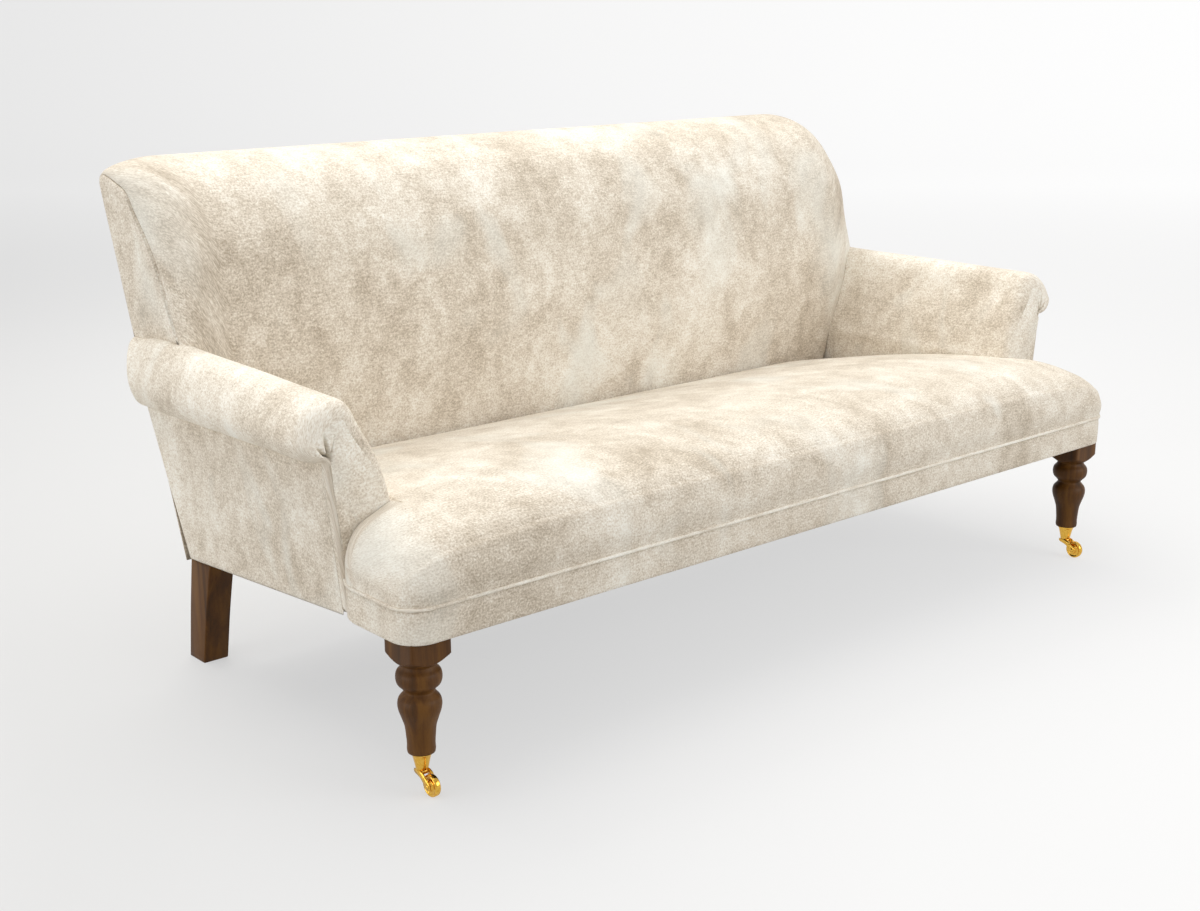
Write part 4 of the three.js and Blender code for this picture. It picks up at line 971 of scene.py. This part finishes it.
cup = flowing([(9.6, 37.4), (10.2, 40), (11.4, 46), (13.4, 55), (15.2, 61.5)], 5)
cup = [(p[0], p[1]) for p in cup] + [(16.1, 62), (16.5, 63), (16.5, 65), (16.0, 65.9), (0, 66)]
cup = [(0, 52.3), (4.3, 52.3), (4.3, 37.4), (8.6, 37.2), *cup]
pair("castor_ferrule", turning("castor_cup", cup, 48, (LEG_X, 0)), replaces=("castor_cup",),
     slot="brass_castors", material=brass)

half = [(3.15, 6.5), (6.3, 6.5), (7, 6.1), (7.3, 4.8), (7.9, 3.6), (9, 3.2), (12.2, 3.2), (13.4, 3.6),
        (14.2, 4.6), (15, 5), (16.4, 4.9), (17.2, 4.1), (17.6, 2.6), (17.7, 0.9)]
section = [(r, -h) for r, h in half] + [(r, h) for r, h in half[::-1]] + [(3.15, -6.5)]
pair("castor_roller", on_axle(turning("castor_wheel", section, 48)), body="castor_wheel",
     replaces=("castor_wheel",), slot="brass_castors", material=brass)

HORN_IN, HORN_OUT = 6.95, 9.35
head = [(0, -HORN_OUT - 1.5), (1.6, -HORN_OUT - 1.35), (2.9, -HORN_OUT - 0.8), (3.9, -HORN_OUT),
        (2.9, -HORN_OUT + 0.1)]
pin = head + [(r, -h) for r, h in head[::-1]]
pair("castor_pin", on_axle(turning("castor_axle", pin, 32)), body="castor_fork", replaces=("castor_axle",),
     slot="brass_castors", material=brass)


def horn():
    """The two curved horns of a castor's fork, each with a round eye for the pin."""
    side = [(9, 36.9), (-9, 36.9), (-14.5, 34.2), (-19, 29.8), (-24, 26.4), (-28.6, 23.6), (-31, 19.5),
            (-30.6, 15.2), (-28, 11.8), (-24.4, 10.8), (-20.6, 12), (-17.6, 15), (-14.6, 19), (-10.6, 23.4),
            (-4.6, 27), (2, 29), (7, 30.6), (9.4, 33.4)]
    line = [(p[0], p[1]) for p in flowing([*side, side[0]], 3)][:-1]
    form = bmesh.new()
    for sign in (-1, 1):
        rows = []
        for x, pull in ((HORN_IN, 0), (HORN_OUT - 0.7, 0), (HORN_OUT, 0.7)):
            edge = inset(line, -pull) if pull else line
            rows.append([form.verts.new(at(LEG_X + sign * x, y, z)) for y, z in edge])
        for a, b in zip(rows, rows[1:]):
            for i in range(len(line)):
                j = (i + 1) % len(line)
                form.faces.new([a[i], a[j], b[j], b[i]])
        form.faces.new(rows[0])
        form.faces.new(rows[-1])
    return closed("horns", form)


def merged(name, *meshes):
    """One mesh out of several."""
    form = bmesh.new()
    for mesh in meshes:
        form.from_mesh(mesh)
    made = bpy.data.meshes.new(name)
    form.to_mesh(made)
    form.free()
    return made


crown = [(0, 30.8), (8.6, 30.9), (9.3, 31.8), (9.3, 36.3), (8.7, 37), (0, 37)]
crown = turning("crown", crown, 40, (LEG_X, 0))
stem = turning("stem", [(0, 36), (4, 36), (4, 51.6), (3.4, 52), (0, 52)], 24, (LEG_X, 0))
pair("castor_horn", merged("castor_fork", horn(), crown, stem), body="castor_fork", replaces=("castor_fork",),
     slot="brass_castors", material=brass)

# Dust cover: one sheet tacked under the rails, set back from the border, which hangs a little in the middle
COVER_HALF, COVER_START_Y, COVER_END_Y, COVER_SAG = 785, -33, 680, 6
sheet_mesh = bpy.data.meshes.new("dust_sheet")
columns, rows = 41, 21
verts = []
for v in spread(0, 1, rows):
    y = mix(COVER_START_Y, COVER_END_Y, v)
    for u in spread(0, 1, columns):
        sag = COVER_SAG * math.sin(u * math.pi) * math.sin(v * math.pi)
        verts.append(at(mix(-COVER_HALF, COVER_HALF, u), y, min(BORDER_FOOT_Z - 0.9, under_z(y) + 1.9) - sag))
firsts = [r * columns + i for r in range(rows - 1) for i in range(columns - 1)]
quads = [(k, k + 1, k + columns + 1, k + columns) for k in firsts]
sheet_mesh.from_pydata(verts, [], quads)
sheet = finished("dust_sheet", sheet_mesh, slot="dust_cloth", replaces=("dust_cover",), material=dust_cloth)
thick = sheet.modifiers.new("thickness", "SOLIDIFY")
thick.thickness = 0.0006
thick.offset = 0

# Frame timber, springs and webbing keep the solid model's shapes
FINISHES = {"beech_frame": beech, "spring_wire": steel, "jute_webbing": jute}
for part in frame["record"]["subparts"]:
    solid = frame["nodes"][part["node"]]
    if part["material_slot"] in FINISHES and not solid.hide_render:
        for holder in solid.material_slots:
            holder.material = FINISHES[part["material_slot"]]


# Room: a seamless pale sweep behind the sofa, and soft light from above
AWAY = Vector((math.sin(yaw), math.cos(yaw), 0))
ACROSS = Vector((math.cos(yaw), -math.sin(yaw), 0))


def sweep_paper():
    """Matt paper, seamless: nearly white, with a little painted shade to the left, and the sofa's shadow kept
    light.
    Far from the lamps the paper is made a little brighter, so that it looks even."""
    made, tree, shader = new_material("paper_sweep", {"Roughness": 1, "Specular IOR Level": 0})
    place = add_node(tree, "ShaderNodeTexCoord")
    away, across = [
        add_node(
            tree, "ShaderNodeVectorMath", {0: place.outputs["Object"], 1: tuple(way)}, operation="DOT_PRODUCT"
        )
        for way in (AWAY, ACROSS)
    ]
    reach = add_node(tree, "ShaderNodeMath", {0: away.outputs["Value"], 1: 3.2}, operation="ADD")
    fan = add_node(
        tree, "ShaderNodeMath", {0: across.outputs["Value"], 1: reach.outputs[0]}, operation="DIVIDE"
    )
    side = add_node(tree, "ShaderNodeMapRange", {"Value": fan.outputs[0], "From Min": -0.4, "From Max": 0.4})
    # painted shade: the paper is greyer towards the left
    tone = ramp(tree, side.outputs[0], [(0, 0.70), (0.25, 0.765), (0.5, 0.84), (0.7, 0.89), (1, 0.92)])
    far = add_node(
        tree, "ShaderNodeMapRange",
        {"Value": away.outputs["Value"], "From Min": 1.2, "From Max": 7.5, "To Min": 1.0, "To Max": 1.31},
    )
    glow = add_node(tree, "ShaderNodeEmission", {"Color": tone, "Strength": far.outputs[0]})
    ray = add_node(tree, "ShaderNodeLightPath")
    seen = add_node(
        tree, "ShaderNodeMath", {0: ray.outputs["Is Camera Ray"], 1: ray.outputs["Is Glossy Ray"]},
        operation="MAXIMUM",
    )
    paper = add_node(
        tree, "ShaderNodeMix", {"Factor": seen.outputs[0], 6: linear("#B4B2AE"), 7: linear("#F2F2F2")},
        data_type="RGBA",
    )
    tree.links.new(paper.outputs[2], shader.inputs["Base Color"])
    share = add_node(tree, "ShaderNodeMath", {0: seen.outputs[0], 1: 0.704}, operation="MULTIPLY")
    both = add_node(
        tree, "ShaderNodeMixShader", {0: share.outputs[0], 1: shader.outputs[0], 2: glow.outputs[0]}
    )
    tree.links.new(both.outputs[0], tree.nodes["Material Output"].inputs["Surface"])
    return made


# the floor in metres: distance away from the camera and height, with a bend of 5 m up into the wall
bend = [(9 + 5 * math.sin(t), 5 - 5 * math.cos(t)) for t in spread(0.1, math.pi / 2, 14)]
profile = [(-40, 0), (9, 0), *bend, (14, 18)]
corners = [tuple(AWAY * u + ACROSS * v + Vector((0, 0, z))) for u, z in profile for v in (-45, 45)]
floor_mesh = bpy.data.meshes.new("floor")
faces = [(2 * i, 2 * i + 1, 2 * i + 3, 2 * i + 2) for i in range(len(profile) - 1)]
floor_mesh.from_pydata(corners, [], faces)
for polygon in floor_mesh.polygons:
    polygon.use_smooth = True
floor_mesh.materials.append(sweep_paper())
floor = bpy.data.objects.new("floor", floor_mesh)
bpy.context.scene.collection.objects.link(floor)

world = bpy.data.worlds.new("room")
bpy.context.scene.world = world
world.use_nodes = True
world.node_tree.nodes["Background"].inputs["Color"].default_value = linear("#F8F8F8")
world.node_tree.nodes["Background"].inputs["Strength"].default_value = 0.7


def lamp(name, place, aim, size, power, colour="#FFFFFF"):
    light = bpy.data.lights.new(name, "AREA")
    light.shape = "RECTANGLE"
    light.size, light.size_y = size
    light.energy = power
    light.color = linear(colour)[:3]
    holder = bpy.data.objects.new(name, light)
    bpy.context.scene.collection.objects.link(holder)
    holder.location = place
    holder.rotation_euler = (Vector(aim) - Vector(place)).to_track_quat("-Z", "Y").to_euler()


lamp("overhead", (-0.2, 0.3, 3.2), (0, 0, 0.4), (3.6, 2.6), 48, "#FFFDF8")
lamp("rear_top", (0, 2.2, 3.0), (0, 0, 0.6), (3.6, 2.0), 63, "#FFFDF8")
lamp("left_fill", (-4.4, 0.5, 0.7), (0, 0, 0.4), (2.8, 1.1), 42)
lamp("front_fill", (2.0, -4.0, 1.8), (0, 0, 0.5), (3.0, 2.0), 71)

bpy.context.scene.view_settings.view_transform = "Standard"
